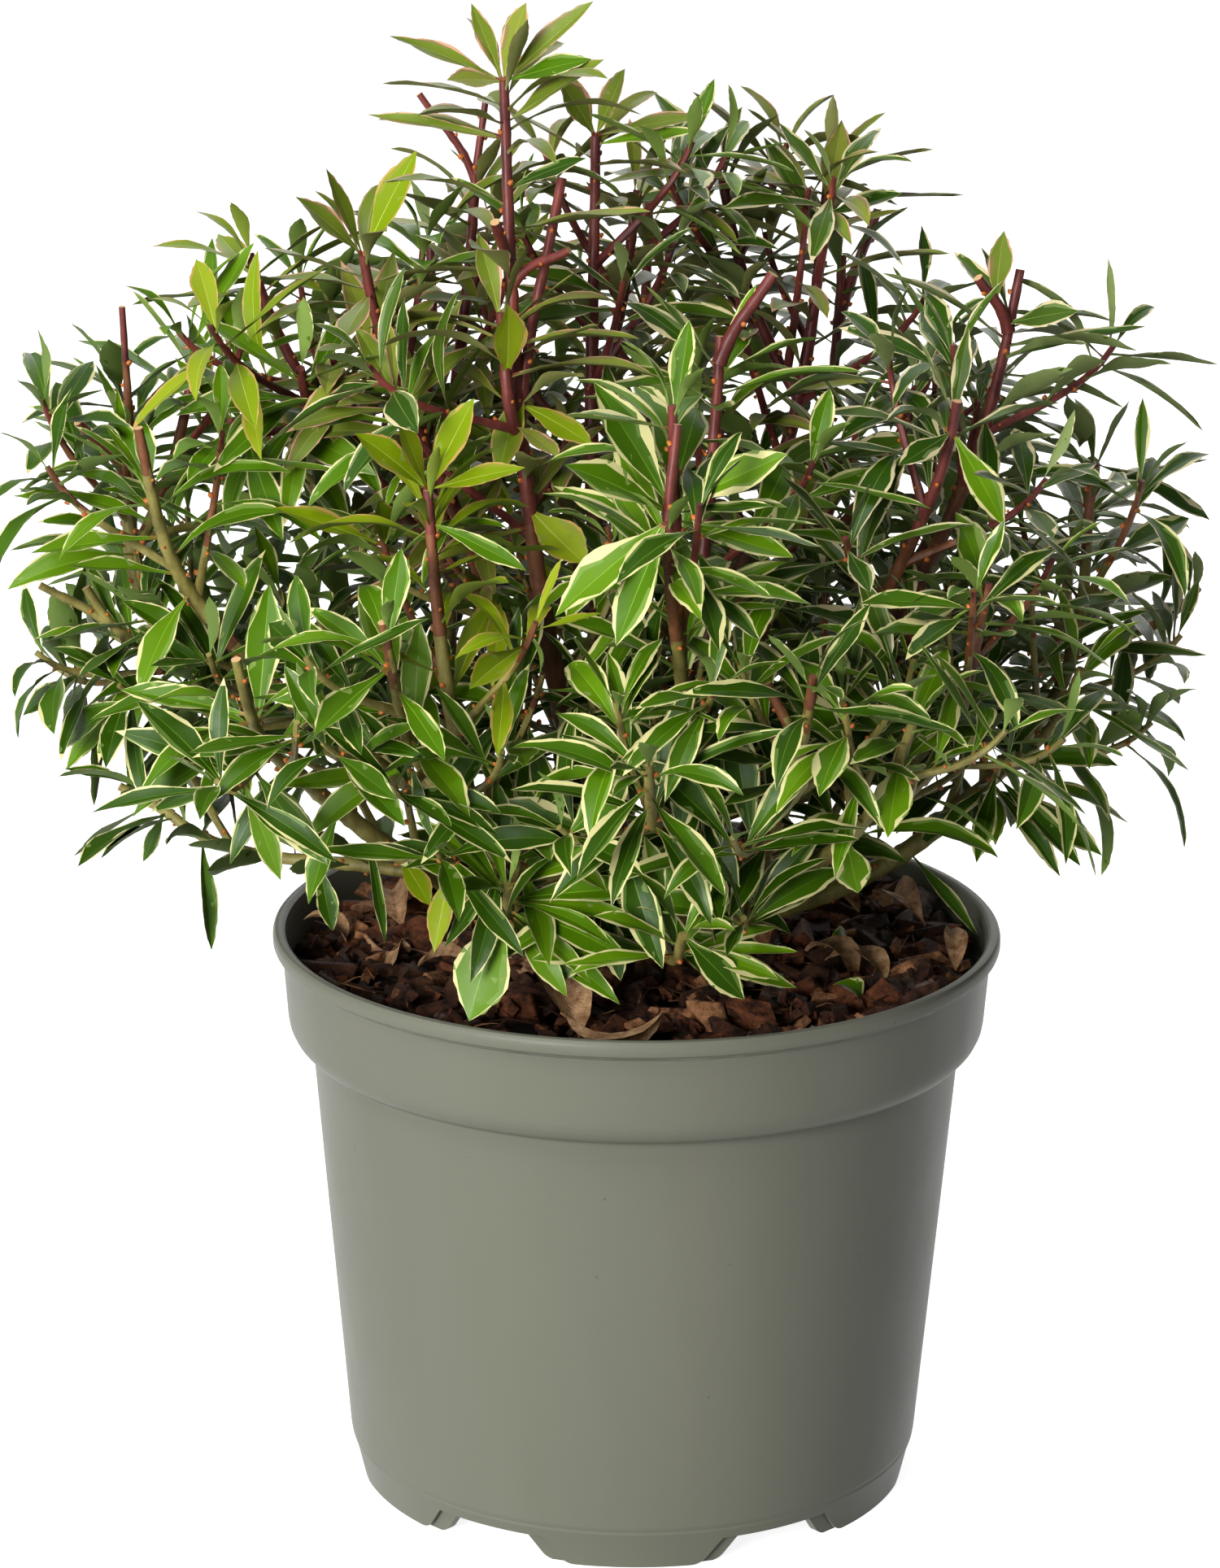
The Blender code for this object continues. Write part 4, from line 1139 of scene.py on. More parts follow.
def margin_widths(chance, cream):
    """The cream edge's share of the half blade: mostly narrow, with bays that reach into the green."""
    widths = []
    for share in ROWS:
        width = cream * chance.uniform(0.30, 1.0)
        if chance.random() < (0.45 if share > 0.7 else 0.20):
            width *= chance.uniform(1.6, 3.0)
        widths.append(min(0.6, width))
    return widths


def leaf_shape(seed, droop, fold, slim, cream=0.15):
    """One leaf along +X with its face up, one unit long, with its outline's points and its tip."""
    chance = random.Random(seed)
    half = 0.5 * LEAF_WIDTH / LEAF_LENGTH * slim
    line = centre_line(droop)
    margins = (margin_widths(chance, cream), margin_widths(chance, cream))
    patch_left = chance.random() < 0.5
    sweep = chance.uniform(-0.06, 0.06)
    twist = chance.uniform(-0.35, 0.35)
    wave = chance.uniform(0.0, 6.3)
    cream_from = len(ROWS) - 1 if chance.random() < 0.25 else len(ROWS)
    points = []

    def point_at(row, across, drop=0.0):
        share = ROWS[row]
        x, z, slope = line[row]
        y = across * half * HALF_WIDTHS[row] * (1.0 + 0.05 * math.sin(9.0 * share + wave + across))
        lift = fold * abs(y) + 0.10 * half * abs(across) * math.sin(11.0 * share + wave + across) - drop
        turn = twist * share
        y, lift = y * math.cos(turn) - lift * math.sin(turn), y * math.sin(turn) + lift * math.cos(turn)
        points.append((x - lift * math.sin(slope), y + sweep * share ** 2, z + lift * math.cos(slope)))
        return len(points) - 1

    grid = []
    for row in range(len(ROWS)):
        left, right = margins[0][row], margins[1][row]
        rib = min(0.38, 0.040 * (1.15 - ROWS[row]) / HALF_WIDTHS[row])
        strip = chance.uniform(0.12, 0.40)
        if patch_left:
            across = (-1.0, left - 1.0, min(-rib - 0.03, left - 1.0 + strip), -rib, rib, 1.0 - right, 1.0)
        else:
            across = (-1.0, left - 1.0, -rib, rib, max(rib + 0.03, 1.0 - right - strip), 1.0 - right, 1.0)
        grid.append([point_at(row, place) for place in across])
    under = [point_at(row, 0.0, LEAF_THICKNESS / LEAF_LENGTH) for row in range(len(ROWS))]
    points.append((line[-1][0], sweep, line[-1][1]))
    tip = len(points) - 1

    def tooth(row, column):
        a, b = np.array(points[grid[row][column]]), np.array(points[grid[row + 1][column]])
        inner = np.array(points[grid[row][3]])
        out = (a + b) / 2.0 - inner
        points.append(tuple((0.42 * a + 0.58 * b) + 0.011 * out / np.linalg.norm(out)))
        return len(points) - 1

    teeth = {(row, column): tooth(row, column) for row in range(2, len(ROWS) - 1) for column in (0, 6)}
    columns = (MARGIN, PATCH, BLADE, RIB, BLADE, MARGIN)
    if not patch_left:
        columns = columns[::-1]
    faces = []
    kinds = []
    patchy = chance.random() < 0.8
    for row in range(len(ROWS) - 1):
        has_patch = patchy and chance.random() < 0.7
        for column in range(6):
            near, far = grid[row], grid[row + 1]
            corners = [near[column], far[column], far[column + 1], near[column + 1]]
            if column == 0 and (row, 0) in teeth:
                corners.insert(1, teeth[(row, 0)])
            if column == 5 and (row, 6) in teeth:
                corners.insert(3, teeth[(row, 6)])
            kind = columns[column]
            if kind == PATCH and not has_patch:
                kind = BLADE
            if row == 0:
                kind = STALK
            if row >= cream_from and kind in (BLADE, PATCH):
                kind = MARGIN
            faces.append(tuple(corners))
            kinds.append(kind)
    last = len(ROWS) - 1
    for column in range(6):
        faces.append((grid[last][column], tip, grid[last][column + 1]))
        kinds.append(MARGIN if cream_from < len(ROWS) or column in (0, 5) else BLADE)
    for row in range(len(ROWS) - 1):
        left = [grid[row][0], under[row], under[row + 1], grid[row + 1][0]]
        right = [under[row], grid[row][6], grid[row + 1][6], under[row + 1]]
        if (row, 0) in teeth:
            left.append(teeth[(row, 0)])
            right.insert(2, teeth[(row, 6)])
        faces += [tuple(left), tuple(right)]
        kinds += [UNDER, UNDER]
    faces += [(grid[last][0], under[last], tip), (under[last], grid[last][6], tip)]
    kinds += [UNDER, UNDER]
    faces.append(tuple(grid[0]) + (under[0],))
    kinds.append(STALK)
    outline = [(grid[row][0], grid[row][6], under[row]) for row in (1, 2, 4, 6)]
    return shape_arrays(points, faces, kinds), outline, tip


def leaf_set(cream):
    """Sixteen leaves of one width of edge, from nearly flat to well arched, broad and slim."""
    made = []
    for index in range(16):
        droop = DROOPS[index % 4]
        fold = 0.18 + 0.11 * (index % 3)
        made.append(leaf_shape(100 + index, droop, fold, 0.62 + 0.08 * (index % 5), cream))
    return made


LEAVES = {"thin": leaf_set(0.10), "broad": leaf_set(0.22)}
first_leaf = LEAVES["thin"][0][0]
print("leaf shapes:", len(LEAVES) * len(LEAVES["thin"]), "of about", len(first_leaf[2]), "faces each")

# %% [markdown]
# ## Tints of leaves
# Deep green old leaves, fresh ones, greyish ones, lime ones on young shoots and blushed ones at the very
# top: each shoot gets one tint, so neighbours match as they do on the plant.  Three tints carry painted
# light.  The deep green is partly painted shade, for shoots inside, low in and at the back of the crown.
# The greyish tint's grey is painted shade and sheen, the cooler light on the crown's right and back.  The
# lime is the young leaves' own colour, lightened to paint the light that shines through them.

# %% Leaf finishes
def leaf_material(name, colour, roughness):
    """One plain colour; only the fine quilting between the veins is a bump."""
    made = plain_material(name, colour, roughness, gloss=0.24)
    quilting = noise_pattern(made.node_tree, 420.0, 2.0)
    return patterned(made, normal=bump(made.node_tree, quilting, 0.25, 0.0004))


# Each tint's colours for blade, edge, rib, patch, underside, the other blades and the stalk
TINTS = {
    # The deep tint: partly the dark green of old leaves, partly painted shade for shoots inside, low and at
    # the back
    "deep": (
        (46, 74, 4), (204, 198, 138), (88, 120, 36), (86, 112, 50),
        (100, 122, 60), (60, 92, 10), (122, 114, 54),
    ),
    "fresh": (
        (72, 108, 8), (210, 204, 142), (114, 152, 44), (106, 136, 58),
        (116, 140, 66), (88, 124, 16), (134, 110, 54),
    ),
    # The greyish tint: painted shade and sheen, for leaves on the crown's right side and at its back
    "greyish": (
        (62, 86, 20), (200, 188, 144), (102, 124, 58), (98, 118, 66),
        (112, 126, 76), (46, 74, 12), (116, 74, 52),
    ),
    # The lime tint: the young leaves' own colour, lightened to paint the light that shines through them
    "lime": (
        (112, 134, 14), (172, 142, 78), (156, 172, 72), (128, 134, 42),
        (122, 138, 52), (128, 144, 24), (140, 88, 50),
    ),
    "blushed": (
        (104, 122, 38), (196, 152, 118), (148, 150, 80), (124, 114, 68),
        (124, 126, 74), (120, 130, 46), (124, 66, 52),
    ),
}
KINDS = ("blade", "margin", "rib", "patch", "underside", "other_blade", "stalk")
tint_finishes = {}
for tint, colours in TINTS.items():
    tint_finishes[tint] = []
    for kind, colour in zip(KINDS, colours):
        rough = 0.62 if kind == "underside" else 0.40
        tint_finishes[tint].append(leaf_material(f"leaf_{tint}_{kind}", colour, rough))
print("leaf finishes:", sum(len(some) for some in tint_finishes.values()))

# %% [markdown]
# ## Leaves on the shoots
# Leaves stand in a golden-angle spiral along a shoot and crowd into a whorl below its tip, the outer ones
# leaning out and the youngest nearly upright.  A leaf is tried at a few turns; one that would cut
# through a limb, another leaf, the pot or the mulch, or reach out of the crown, is left out.

# %% Where leaves may be
def node_tree_of(name):
    """A search tree of a CAD node, in place."""
    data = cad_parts[name].data
    points = [vert.co[:] for vert in data.vertices]
    return BVHTree.FromPolygons(points, [tuple(face.vertices) for face in data.polygons])


def tube_points(path, radius, steps):
    """A plain five-sided tube, for asking whether a leaf would cut through the limb."""
    points = []
    faces = []
    for index in range(steps + 1):
        place, way = place_on(path, index / steps)
        side = way.orthogonal().normalized()
        across = way.cross(side)
        for corner in range(5):
            turn = FULL_TURN * corner / 5.0
            points.append(place + radius * (math.cos(turn) * side + math.sin(turn) * across))
    for index in range(steps):
        for corner in range(5):
            low = 5 * index
            onward = (corner + 1) % 5
            faces.append((low + corner, low + onward, low + 5 + onward, low + 5 + corner))
    return points, faces


def tree_of_limbs(limbs):
    """One search tree of many limbs."""
    points = []
    faces = []
    for path, radii in limbs:
        some, their_faces = tube_points(path, sum(radii) / 2.0 + 0.0003, max(3, int(run_of(path) / 0.006)))
        faces += [tuple(corner + len(points) for corner in face) for face in their_faces]
        points += some
    return BVHTree.FromPolygons(points, faces)


shoot_list = []
for name, shoots in stems.items():
    for order, shoot in enumerate(shoots + twigs[name]):
        rank = "stem" if order == 0 else "shoot" if order < len(shoots) else "twig"
        shoot_list.append((name, rank, shoot))
all_stubs = [stub for some in stubs.values() for stub in some]
limb_tree = tree_of_limbs(list(boughs.values()) + [shoot for name, rank, shoot in shoot_list] + all_stubs)
solid_trees = [limb_tree, node_tree_of("pot"), node_tree_of("growing_medium"), node_tree_of("root_crown")]
print("shoots to dress:", len(shoot_list))

# %% Leaf places
LEAF_STEP = 0.0051
YOUNG_HEIGHT = 0.236
SPARSE = 1.2
WHORL_STEP = 0.0016
LEAF_TRIES = 8
CELL = 0.036
PROXY = 0.72
SIGHT_REACH = 0.14
SIGHT_REFUSAL = 0.85
SEAT = 0.7
TRY_TURN = math.radians(29.0)
FIRST_SHARE = {"stem": 0.10, "shoot": 0.12, "twig": 0.30}
WHORL_LEAVES = {"stem": 9, "shoot": 8, "twig": 6}


def leaf_slots(path, rank, bare):
    """Shares along a shoot where leaves stand, with their place in the tip's whorl from 0 to 1."""
    run = run_of(path)
    top = run - bare
    whorl = WHORL_LEAVES[rank]
    slots = [((top - 0.0006 - step * WHORL_STEP) / run, step / whorl) for step in range(whorl)]
    apart = LEAF_STEP if path[-1].z < YOUNG_HEIGHT else SPARSE * LEAF_STEP
    at = top - whorl * WHORL_STEP - 0.5 * apart
    while at > FIRST_SHARE[rank] * run:
        slots.append((at / run, 1.0 + (top - at) / run))
        at -= apart
    return slots


# Stretches of stem that show in the photograph: nearly no leaf hangs between them and the front
SIGHTS = (
    ((-25, -39, 214), (-29, -40, 300), 3.0), ((-34, -38, 312), (-35, -26, 364), 1.5),
    ((8, -78, 236), (6, -96, 270), 2.5), ((17, -38, 262), (31, -30, 325), 2.0),
    ((7, -93, 274), (8, -93, 300), 2.0),
    ((72, -19, 246), (92, -2, 318), 2.5), ((-96, -40, 216), (-124, -42, 282), 2.0),
    ((-48, -66, 232), (-52, -68, 268), 2.0), ((-118, 0, 244), (-131, 0, 310), 2.0),
    ((-60, -44, 186), (-92, -64, 222), 2.0), ((60, 10, 162), (104, 8, 202), 2.5),
)


def sight_tree():
    """Thin screens from the stems' stretches towards the camera."""
    points = []
    faces = []
    for start, end, half in SIGHTS:
        for offset in (-half, 0.0, half):
            a = Vector(start) * MM + Vector((offset * MM, -0.003, 0.0))
            b = Vector(end) * MM + Vector((offset * MM, -0.003, 0.0))
            onward = (Vector(CAMERA_PLACE) - a).normalized() * SIGHT_REACH
            faces.append(tuple(range(len(points), len(points) + 4)))
            points += [a, b, b + onward, a + onward]
    return BVHTree.FromPolygons(points, faces)


sights = sight_tree()


def proxy_tree(points, shape):
    """A narrower strip of the leaf, for asking whether it would cut through something."""
    corners = []
    for left, right, middle in shape[1]:
        rib = points[middle]
        corners += [rib + PROXY * (points[left] - rib), rib + PROXY * (points[right] - rib)]
    corners.append(points[shape[2]])
    faces = [(0, 1, 3, 2), (2, 3, 5, 4), (4, 5, 7, 6), (6, 7, 8)]
    return BVHTree.FromPolygons([tuple(corner) for corner in corners], faces)


def cell_of(place):
    """The cell of a coarse grid that a place lies in, so that only near leaves are compared."""
    return tuple(int(math.floor(value / CELL)) for value in place)


def near_trees(cells, middle):
    """The strips of the leaves whose middles are within one cell's width."""
    home = cell_of(middle)
    for dx in (-1, 0, 1):
        for dy in (-1, 0, 1):
            for dz in (-1, 0, 1):
                for place, tree in cells.get((home[0] + dx, home[1] + dy, home[2] + dz), ()):
                    if (place - middle).length_squared < CELL * CELL:
                        yield tree


def try_leaf(shape, root, way, up, size, cells, chance):
    """The leaf's points if it fits, else None."""
    points = placed(shape[0][0], root, way, up, size)
    ends = [Vector(points[shape[2]]), Vector(points[shape[1][2][0]]), Vector(points[shape[1][2][1]])]
    if not all(in_reach(point) and point.z > crown_floor(point) for point in ends):
        return None
    tree = proxy_tree(points, shape)
    if any(tree.overlap(solid) for solid in solid_trees):
        return None
    if tree.overlap(sights) and chance.random() < SIGHT_REFUSAL:
        return None
    middle = Vector(points[shape[1][1][2]])
    if any(tree.overlap(other) for other in near_trees(cells, middle)):
        return None
    cells.setdefault(cell_of(middle), []).append((middle, tree))
    return points


print("sight lines:", len(SIGHTS))

# %% [markdown]
# The leaves nearest the camera give the plant its face, so they are set one by one: where each starts,
# where its tip is, and how broad it is.  Each is moved so that it starts on the nearest limb.

# %% Leaves that show most, in millimetres
# Deep tints here are partly painted shade, and greyish ones painted shade and sheen, on low, inner and
# right-hand leaves
SHOWN_LEAVES = (
    ((-34, -25, 373), (-30, -27, 393), 1.25, "blushed"),
    ((-34, -25, 373), (-62, -21, 384), 0.62, "blushed"),
    ((-34, -25, 373), (-12, -25, 392), 0.7, "blushed"),
    ((-34, -25, 373), (-13, -31, 380), 0.9, "fresh"),
    ((-34, -25, 373), (-43, -19, 391), 0.7, "blushed"),
    ((-34, -25, 373), (-48, -33, 375), 0.7, "blushed"),
    ((-34, -25, 363), (-10, -35, 379), 1.0, "blushed"),
    ((-34, -26, 358), (-68, -18, 364), 0.5, "blushed"),
    ((-33, -27, 348), (-14, -35, 357), 0.9, "greyish"),
    ((-12, 18, 353), (-21, 12, 369), 0.8, "blushed"),
    ((-12, 18, 353), (-4, 14, 370), 0.8, "blushed"),
    ((-12, 18, 353), (16, 12, 360), 0.7, "blushed"),
    ((-12, 18, 350), (14, 8, 357), 0.8, "fresh"),
    ((6, -95, 281), (-21, -100, 259), 1.15, "fresh"),
    ((6, -95, 283), (-18, -103, 297), 1.05, "fresh"),
    ((6, -96, 281), (-6, -104, 252), 1.15, "fresh"),
    ((8, -82, 276), (13, -98, 260), 1.1, "fresh"),
    ((8, -84, 281), (34, -90, 295), 1.05, "fresh"),
    ((8, -83, 278), (35, -93, 270), 1.0, "fresh"),
    ((8, -82, 276), (20, -92, 254), 0.95, "fresh"),
    ((8, -84, 279), (31, -96, 285), 0.7, "deep"),
    ((6, -95, 284), (-11, -91, 313), 0.95, "deep"),
    ((-32, -74, 178), (-44, -79, 151), 1.55, "fresh"),
    ((-10, -70, 180), (-19, -73, 157), 1.0, "deep"),
    ((-9, -68, 178), (-3, -71, 158), 1.0, "deep"),
    ((-32, -76, 180), (4, -80, 185), 0.75, "fresh"),
    ((-32, -76, 180), (1, -82, 176), 0.8, "fresh"),
    ((11, -93, 177), (26, -96, 162), 0.95, "deep"),
    ((16, -55, 181), (39, -59, 167), 0.9, "deep"),
    ((51, -70, 199), (53, -78, 183), 0.95, "fresh"),
    ((-45, -73, 189), (-51, -83, 169), 0.65, "lime"),
    ((-60, -35, 179), (-52, -43, 168), 0.75, "lime"),
    ((-69, -40, 187), (-63, -44, 158), 0.5, "deep"),
    ((-75, -44, 193), (-83, -52, 171), 0.7, "fresh"),
    ((-82, -22, 173), (-79, -26, 155), 0.6, "deep"),
    ((-17, -87, 200), (-3, -89, 216), 1.35, "deep"),
    ((-34, -70, 188), (-17, -72, 207), 0.9, "deep"),
    ((-32, -81, 185), (-6, -85, 197), 0.7, "fresh"),
    ((-112, -15, 177), (-111, -13, 145), 0.55, "deep"),
    ((-96, -80, 211), (-87, -80, 186), 0.7, "fresh"),
    ((-121, -13, 183), (-127, -13, 169), 0.6, "deep"),
    ((-131, 3, 214), (-149, 1, 190), 0.75, "fresh"),
    ((-143, -1, 216), (-159, -5, 207), 0.7, "deep"),
    ((71, 6, 168), (90, 2, 146), 0.5, "deep"),
    ((-51, -68, 281), (-59, -72, 300), 0.95, "lime"),
    ((-51, -68, 281), (-40, -72, 304), 1.0, "lime"),
    ((-51, -68, 281), (-68, -72, 297), 0.85, "lime"),
    ((-51, -68, 281), (-28, -76, 289), 0.8, "lime"),
    ((-51, -68, 273), (-27, -76, 264), 0.8, "fresh"),
    ((-63, -49, 262), (-90, -55, 274), 0.75, "lime"),
    ((-63, -49, 262), (-63, -55, 276), 0.8, "lime"),
    ((-29, -35, 302), (-35, -43, 279), 1.0, "lime"),
    ((-30, -36, 295), (-11, -50, 289), 1.1, "lime"),
    ((-33, -41, 302), (-32, -45, 322), 0.9, "lime"),
    ((-28, -39, 269), (-15, -49, 257), 1.15, "lime"),
    ((76, -44, 290), (89, -54, 270), 1.0, "fresh"),
    ((76, -44, 291), (63, -58, 285), 0.9, "greyish"),
    ((124, 37, 266), (151, 35, 250), 0.55, "greyish"),
    ((116, 15, 233), (137, 7, 241), 0.95, "greyish"),
    ((112, 15, 222), (148, 13, 220), 0.55, "greyish"),
    ((85, -52, 255), (60, -60, 242), 1.0, "deep"),
    ((85, -52, 253), (77, -56, 274), 0.95, "fresh"),
    ((91, -3, 302), (127, -3, 309), 0.5, "greyish"),
    ((92, -2, 309), (109, -10, 315), 1.05, "greyish"),
    ((89, -3, 315), (89, -7, 334), 0.9, "blushed"),
    ((48, 43, 331), (52, 41, 354), 0.8, "blushed"),
    ((47, 43, 329), (67, 37, 335), 0.8, "deep"),
    ((-69, -19, 329), (-56, -23, 356), 1.05, "lime"),
    ((-69, -19, 329), (-78, -25, 351), 0.8, "blushed"),
    ((-69, -19, 329), (-85, -25, 345), 0.7, "blushed"),
)
LONGEST = 0.040
SHOWN_BREADTH = 1.10
heaps = {(tint, edge): Heap() for tint in TINTS for edge in LEAVES}
cells = {}


def edge_of(place, tint):
    """Leaves at the left and at the top have the thinner edges."""
    return "thin" if tint in ("lime", "blushed") or place.x < -0.028 else "broad"


def keep_leaf(tint, edge, shape, points, chance):
    """A leaf that fits goes into its tint's heap; some blades are a little lighter than the rest."""
    kinds = shape[0][3]
    if chance.random() < 0.4:
        kinds = np.where(kinds == BLADE, OTHER_BLADE, kinds)
    heaps[tint, edge].add(points, shape[0][1], shape[0][2], kinds)


chance = random.Random(f"{SEED} shown leaves")
limb_places = np.vstack((limb_places, limb_points(all_stubs)[0]))
moved = []
for index, (start, tip, width, tint) in enumerate(SHOWN_LEAVES):
    start, tip = Vector(start) * MM, Vector(tip) * MM
    gaps = np.linalg.norm(limb_places - np.array(start[:]), axis=1)
    root = Vector(limb_places[gaps.argmin()])
    moved.append(gaps.min())
    way = (tip - root).normalized()
    length = min(LONGEST, (tip - root).length)
    edge = edge_of(root, tint)
    shape = LEAVES[edge][4 * (index % 4)]
    up = Vector((0.25 * (index % 3 - 1), -0.55, 0.85)).normalized()
    spread = SHOWN_BREADTH * width * LEAF_LENGTH / length
    points = placed(shape[0][0] * np.array((1.0, spread, 1.0)), root, way, up, length)
    keep_leaf(tint, edge, shape, points, chance)
    middle = Vector(points[shape[1][1][2]])
    cells.setdefault(cell_of(middle), []).append((middle, proxy_tree(points, shape)))
print("leaves set by hand:", len(moved), "moved at most", round(1000.0 * max(moved), 1), "mm")

# %% All other leaves
# Twigs draw tints from their mass's list, so deep and greyish bring their painted shade and sheen in
TINT_MIX = {
    "lime": ("lime", "lime", "fresh", "blushed"), "blushed": ("blushed", "blushed", "greyish", "fresh"),
    "deep": ("deep", "deep", "fresh", "greyish"), "fresh": ("fresh", "fresh", "deep", "deep"),
    "greyish": ("greyish", "greyish", "deep", "fresh"),
}


def stance(order, rank, chance):
    """How far a leaf leans from its shoot, and its size: the youngest are small and upright."""
    if order < 1.0:
        lean = 26.0 + 56.0 * min(1.0, 2.1 * order) + chance.uniform(-10.0, 10.0)
        size = 0.56 + 0.42 * min(1.0, 1.8 * order)
    else:
        lean = chance.uniform(58.0, 92.0)
        size = chance.uniform(0.82, 1.06)
    return math.radians(lean), size * (0.92 if rank == "twig" else 1.0)


tried = 0
for name, rank, (path, radii) in shoot_list:
    chance = random.Random(f"{SEED} leaves {name} {path[-1][:]}")
    bare = MASSES[name][4] * MM if rank == "stem" else 0.0
    tint = MASSES[name][5]
    if rank != "stem":
        tint = chance.choice(TINT_MIX[tint])
    # Shoots that end low take fresh or, two times in three, deep: an older green that is partly painted
    # shade under the crown
    if path[-1].z < YOUNG_HEIGHT and tint in ("lime", "blushed", "fresh"):
        tint = chance.choice(("fresh", "deep", "deep"))
    turn = chance.uniform(0.0, FULL_TURN)
    for share, order in leaf_slots(path, rank, bare):
        tried += 1
        root, tangent = place_on(path, share)
        across = tangent.orthogonal().normalized()
        turn += GOLDEN_ANGLE
        lean, size = stance(order, rank, chance)
        edge = edge_of(root, tint)
        for attempt in range(LEAF_TRIES):
            spin = turn + attempt * TRY_TURN
            shape = chance.choice(LEAVES[edge])
            out = Matrix.Rotation(spin, 3, tangent) @ across
            way = (math.cos(lean) * tangent + math.sin(lean) * out).normalized()
            roll = chance.uniform(-0.35, 0.35) * way.cross(tangent)
            up = (tangent + roll + Vector((0.0, 0.0, 1.1))).normalized()
            if abs(way.dot(up)) > 0.97:
                up = across
            length = LEAF_LENGTH * size * (1.0 - 0.04 * attempt)
            radius = part_way(radii, share)
            points = try_leaf(shape, root + SEAT * radius * out, way, up, length, cells, chance)
            if points is not None:
                keep_leaf(tint, edge, shape, points, chance)
                break
print("leaf places tried:", tried, "leaves placed:", sum(heap.copies for heap in heaps.values()))

# %% Leaves as pieces
for (tint, edge), heap in heaps.items():
    if not heap.copies:
        continue
    piece = heap.to_object(f"leaves_{tint}_{edge}_edge", tint_finishes[tint], 60.0)
    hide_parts(*MASSES)
    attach(piece, "root")

# %% [markdown]
# ## Mulch
# The pot is topped with chipped bark, a few curled dead leaves and fibres.  A bumpy disc alone would
# look like cake, so the bed is a rough surface under more than a thousand chips.  Each chip is one of
# eight splinters: a box that is tapered, cut aslant and bevelled, then laid tilted on the bed.

# %% Mulch finishes
def chip_material(name, dark, light):
    """Blotches of two tones and a rough grain, for all that lies on the mulch."""
    made = plain_material(name, light, 0.70, gloss=0.22)
    tree = made.node_tree
    tone = noise_pattern(tree, 260.0, 6.0, 0.7)
    colours = ramp(tree, tone, [(0.36, dark), (0.66, light)])
    grain = bump(tree, noise_pattern(tree, 700.0, 5.0, 0.75), 0.9, 0.0012)
    return patterned(made, base_color=colours, normal=grain)


CHIPS = [
    chip_material("chip_dark", (18, 12, 9), (84, 54, 38)),
    chip_material("chip_red", (32, 18, 11), (124, 74, 48)),
    chip_material("chip_brown", (58, 34, 22), (180, 126, 86)),
    chip_material("chip_grey", (38, 31, 27), (122, 102, 90)),
]
# The bed shows only between the chips: its near-black is partly dark crumbs and partly painted shade in the
# gaps
bed_finish = chip_material("mulch_bed", (10, 7, 5), (38, 24, 16))
dry_finish = chip_material("dry_leaf", (124, 86, 56), (206, 166, 124))
print("mulch finishes:", len(CHIPS) + 2)

# %% Mulch bed
BED_RINGS = (
    (73.6, 9.3), (83.0, 119.0), (84.6, 122.8), (88.9, 127.0), (89.7, 137.2), (87.5, 138.4), (84.0, 138.9),
    (80.0, 139.1), (76.0, 139.3), (72.0, 139.5), (67.0, 139.7), (62.0, 139.8), (56.0, 139.9),
    (50.0, 140.0), (43.0, 140.0), (36.0, 140.0), (28.0, 140.0), (20.0, 140.0), (12.0, 140.0), (5.0, 140.0),
)
BED_SIDES = 144
BED_EDGE = 0.1375
BED_RELIEF = 0.0018

bed = draw_wall("mulch_bed", BED_RINGS, BED_SIDES)
bm = bmesh.from_edit_mesh(bed.data)
for vert in bm.verts:
    if vert.co.z > BED_EDGE:
        vert.co.z += BED_RELIEF * noise.noise(vert.co * 160.0) - 0.0008
bmesh.ops.recalc_face_normals(bm, faces=bm.faces)
bmesh.update_edit_mesh(bed.data)
smooth_finish(bed, bed_finish, 40.0)
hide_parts("growing_medium")
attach(bed, "root")
print("bed faces:", len(bed.data.polygons))

# %% Splinters cut one by one
def cut_splinter(index):
    """A box, tapered, bevelled and cut aslant at both ends; its arrays are kept and it goes."""
    chance = random.Random(700 + index)
    nothing_selected()
    bpy.ops.mesh.primitive_cube_add(size=1.0)
    piece = bpy.context.object
    bpy.ops.object.mode_set(mode="EDIT")
    bpy.ops.mesh.select_all(action="SELECT")
    bpy.ops.transform.resize(value=(1.0, chance.uniform(0.30, 0.62), chance.uniform(0.20, 0.44)))
    pick(piece, lambda face: face.normal.x > 0.9, "FACE")
    bpy.ops.transform.resize(value=(1.0, chance.uniform(0.35, 0.8), chance.uniform(0.4, 0.9)))
    bpy.ops.mesh.select_all(action="SELECT")
    slant = (1.0, chance.uniform(-0.7, 0.7), chance.uniform(-0.5, 0.5))
    bpy.ops.mesh.bisect(plane_co=(0.36, 0.0, 0.0), plane_no=slant, use_fill=True, clear_outer=True)
    bpy.ops.mesh.select_all(action="SELECT")
    slant = (-1.0, chance.uniform(-0.7, 0.7), chance.uniform(-0.5, 0.5))
    bpy.ops.mesh.bisect(plane_co=(-0.38, 0.0, 0.0), plane_no=slant, use_fill=True, clear_outer=True)
    bpy.ops.mesh.select_all(action="SELECT")
    bpy.ops.mesh.bevel(offset=0.025, segments=1, affect="EDGES")
    bpy.ops.transform.vertex_random(offset=0.035, seed=index)
    bpy.ops.mesh.normals_make_consistent(inside=False)
    bpy.ops.object.mode_set(mode="OBJECT")
    points = [vert.co[:] for vert in piece.data.vertices]
    faces = [tuple(face.vertices) for face in piece.data.polygons]
    bpy.data.objects.remove(piece, do_unlink=True)
    return shape_arrays(points, faces, [0] * len(faces))


SPLINTERS = [cut_splinter(index) for index in range(8)]
print("splinters:", len(SPLINTERS), "faces each about", len(SPLINTERS[0][2]))

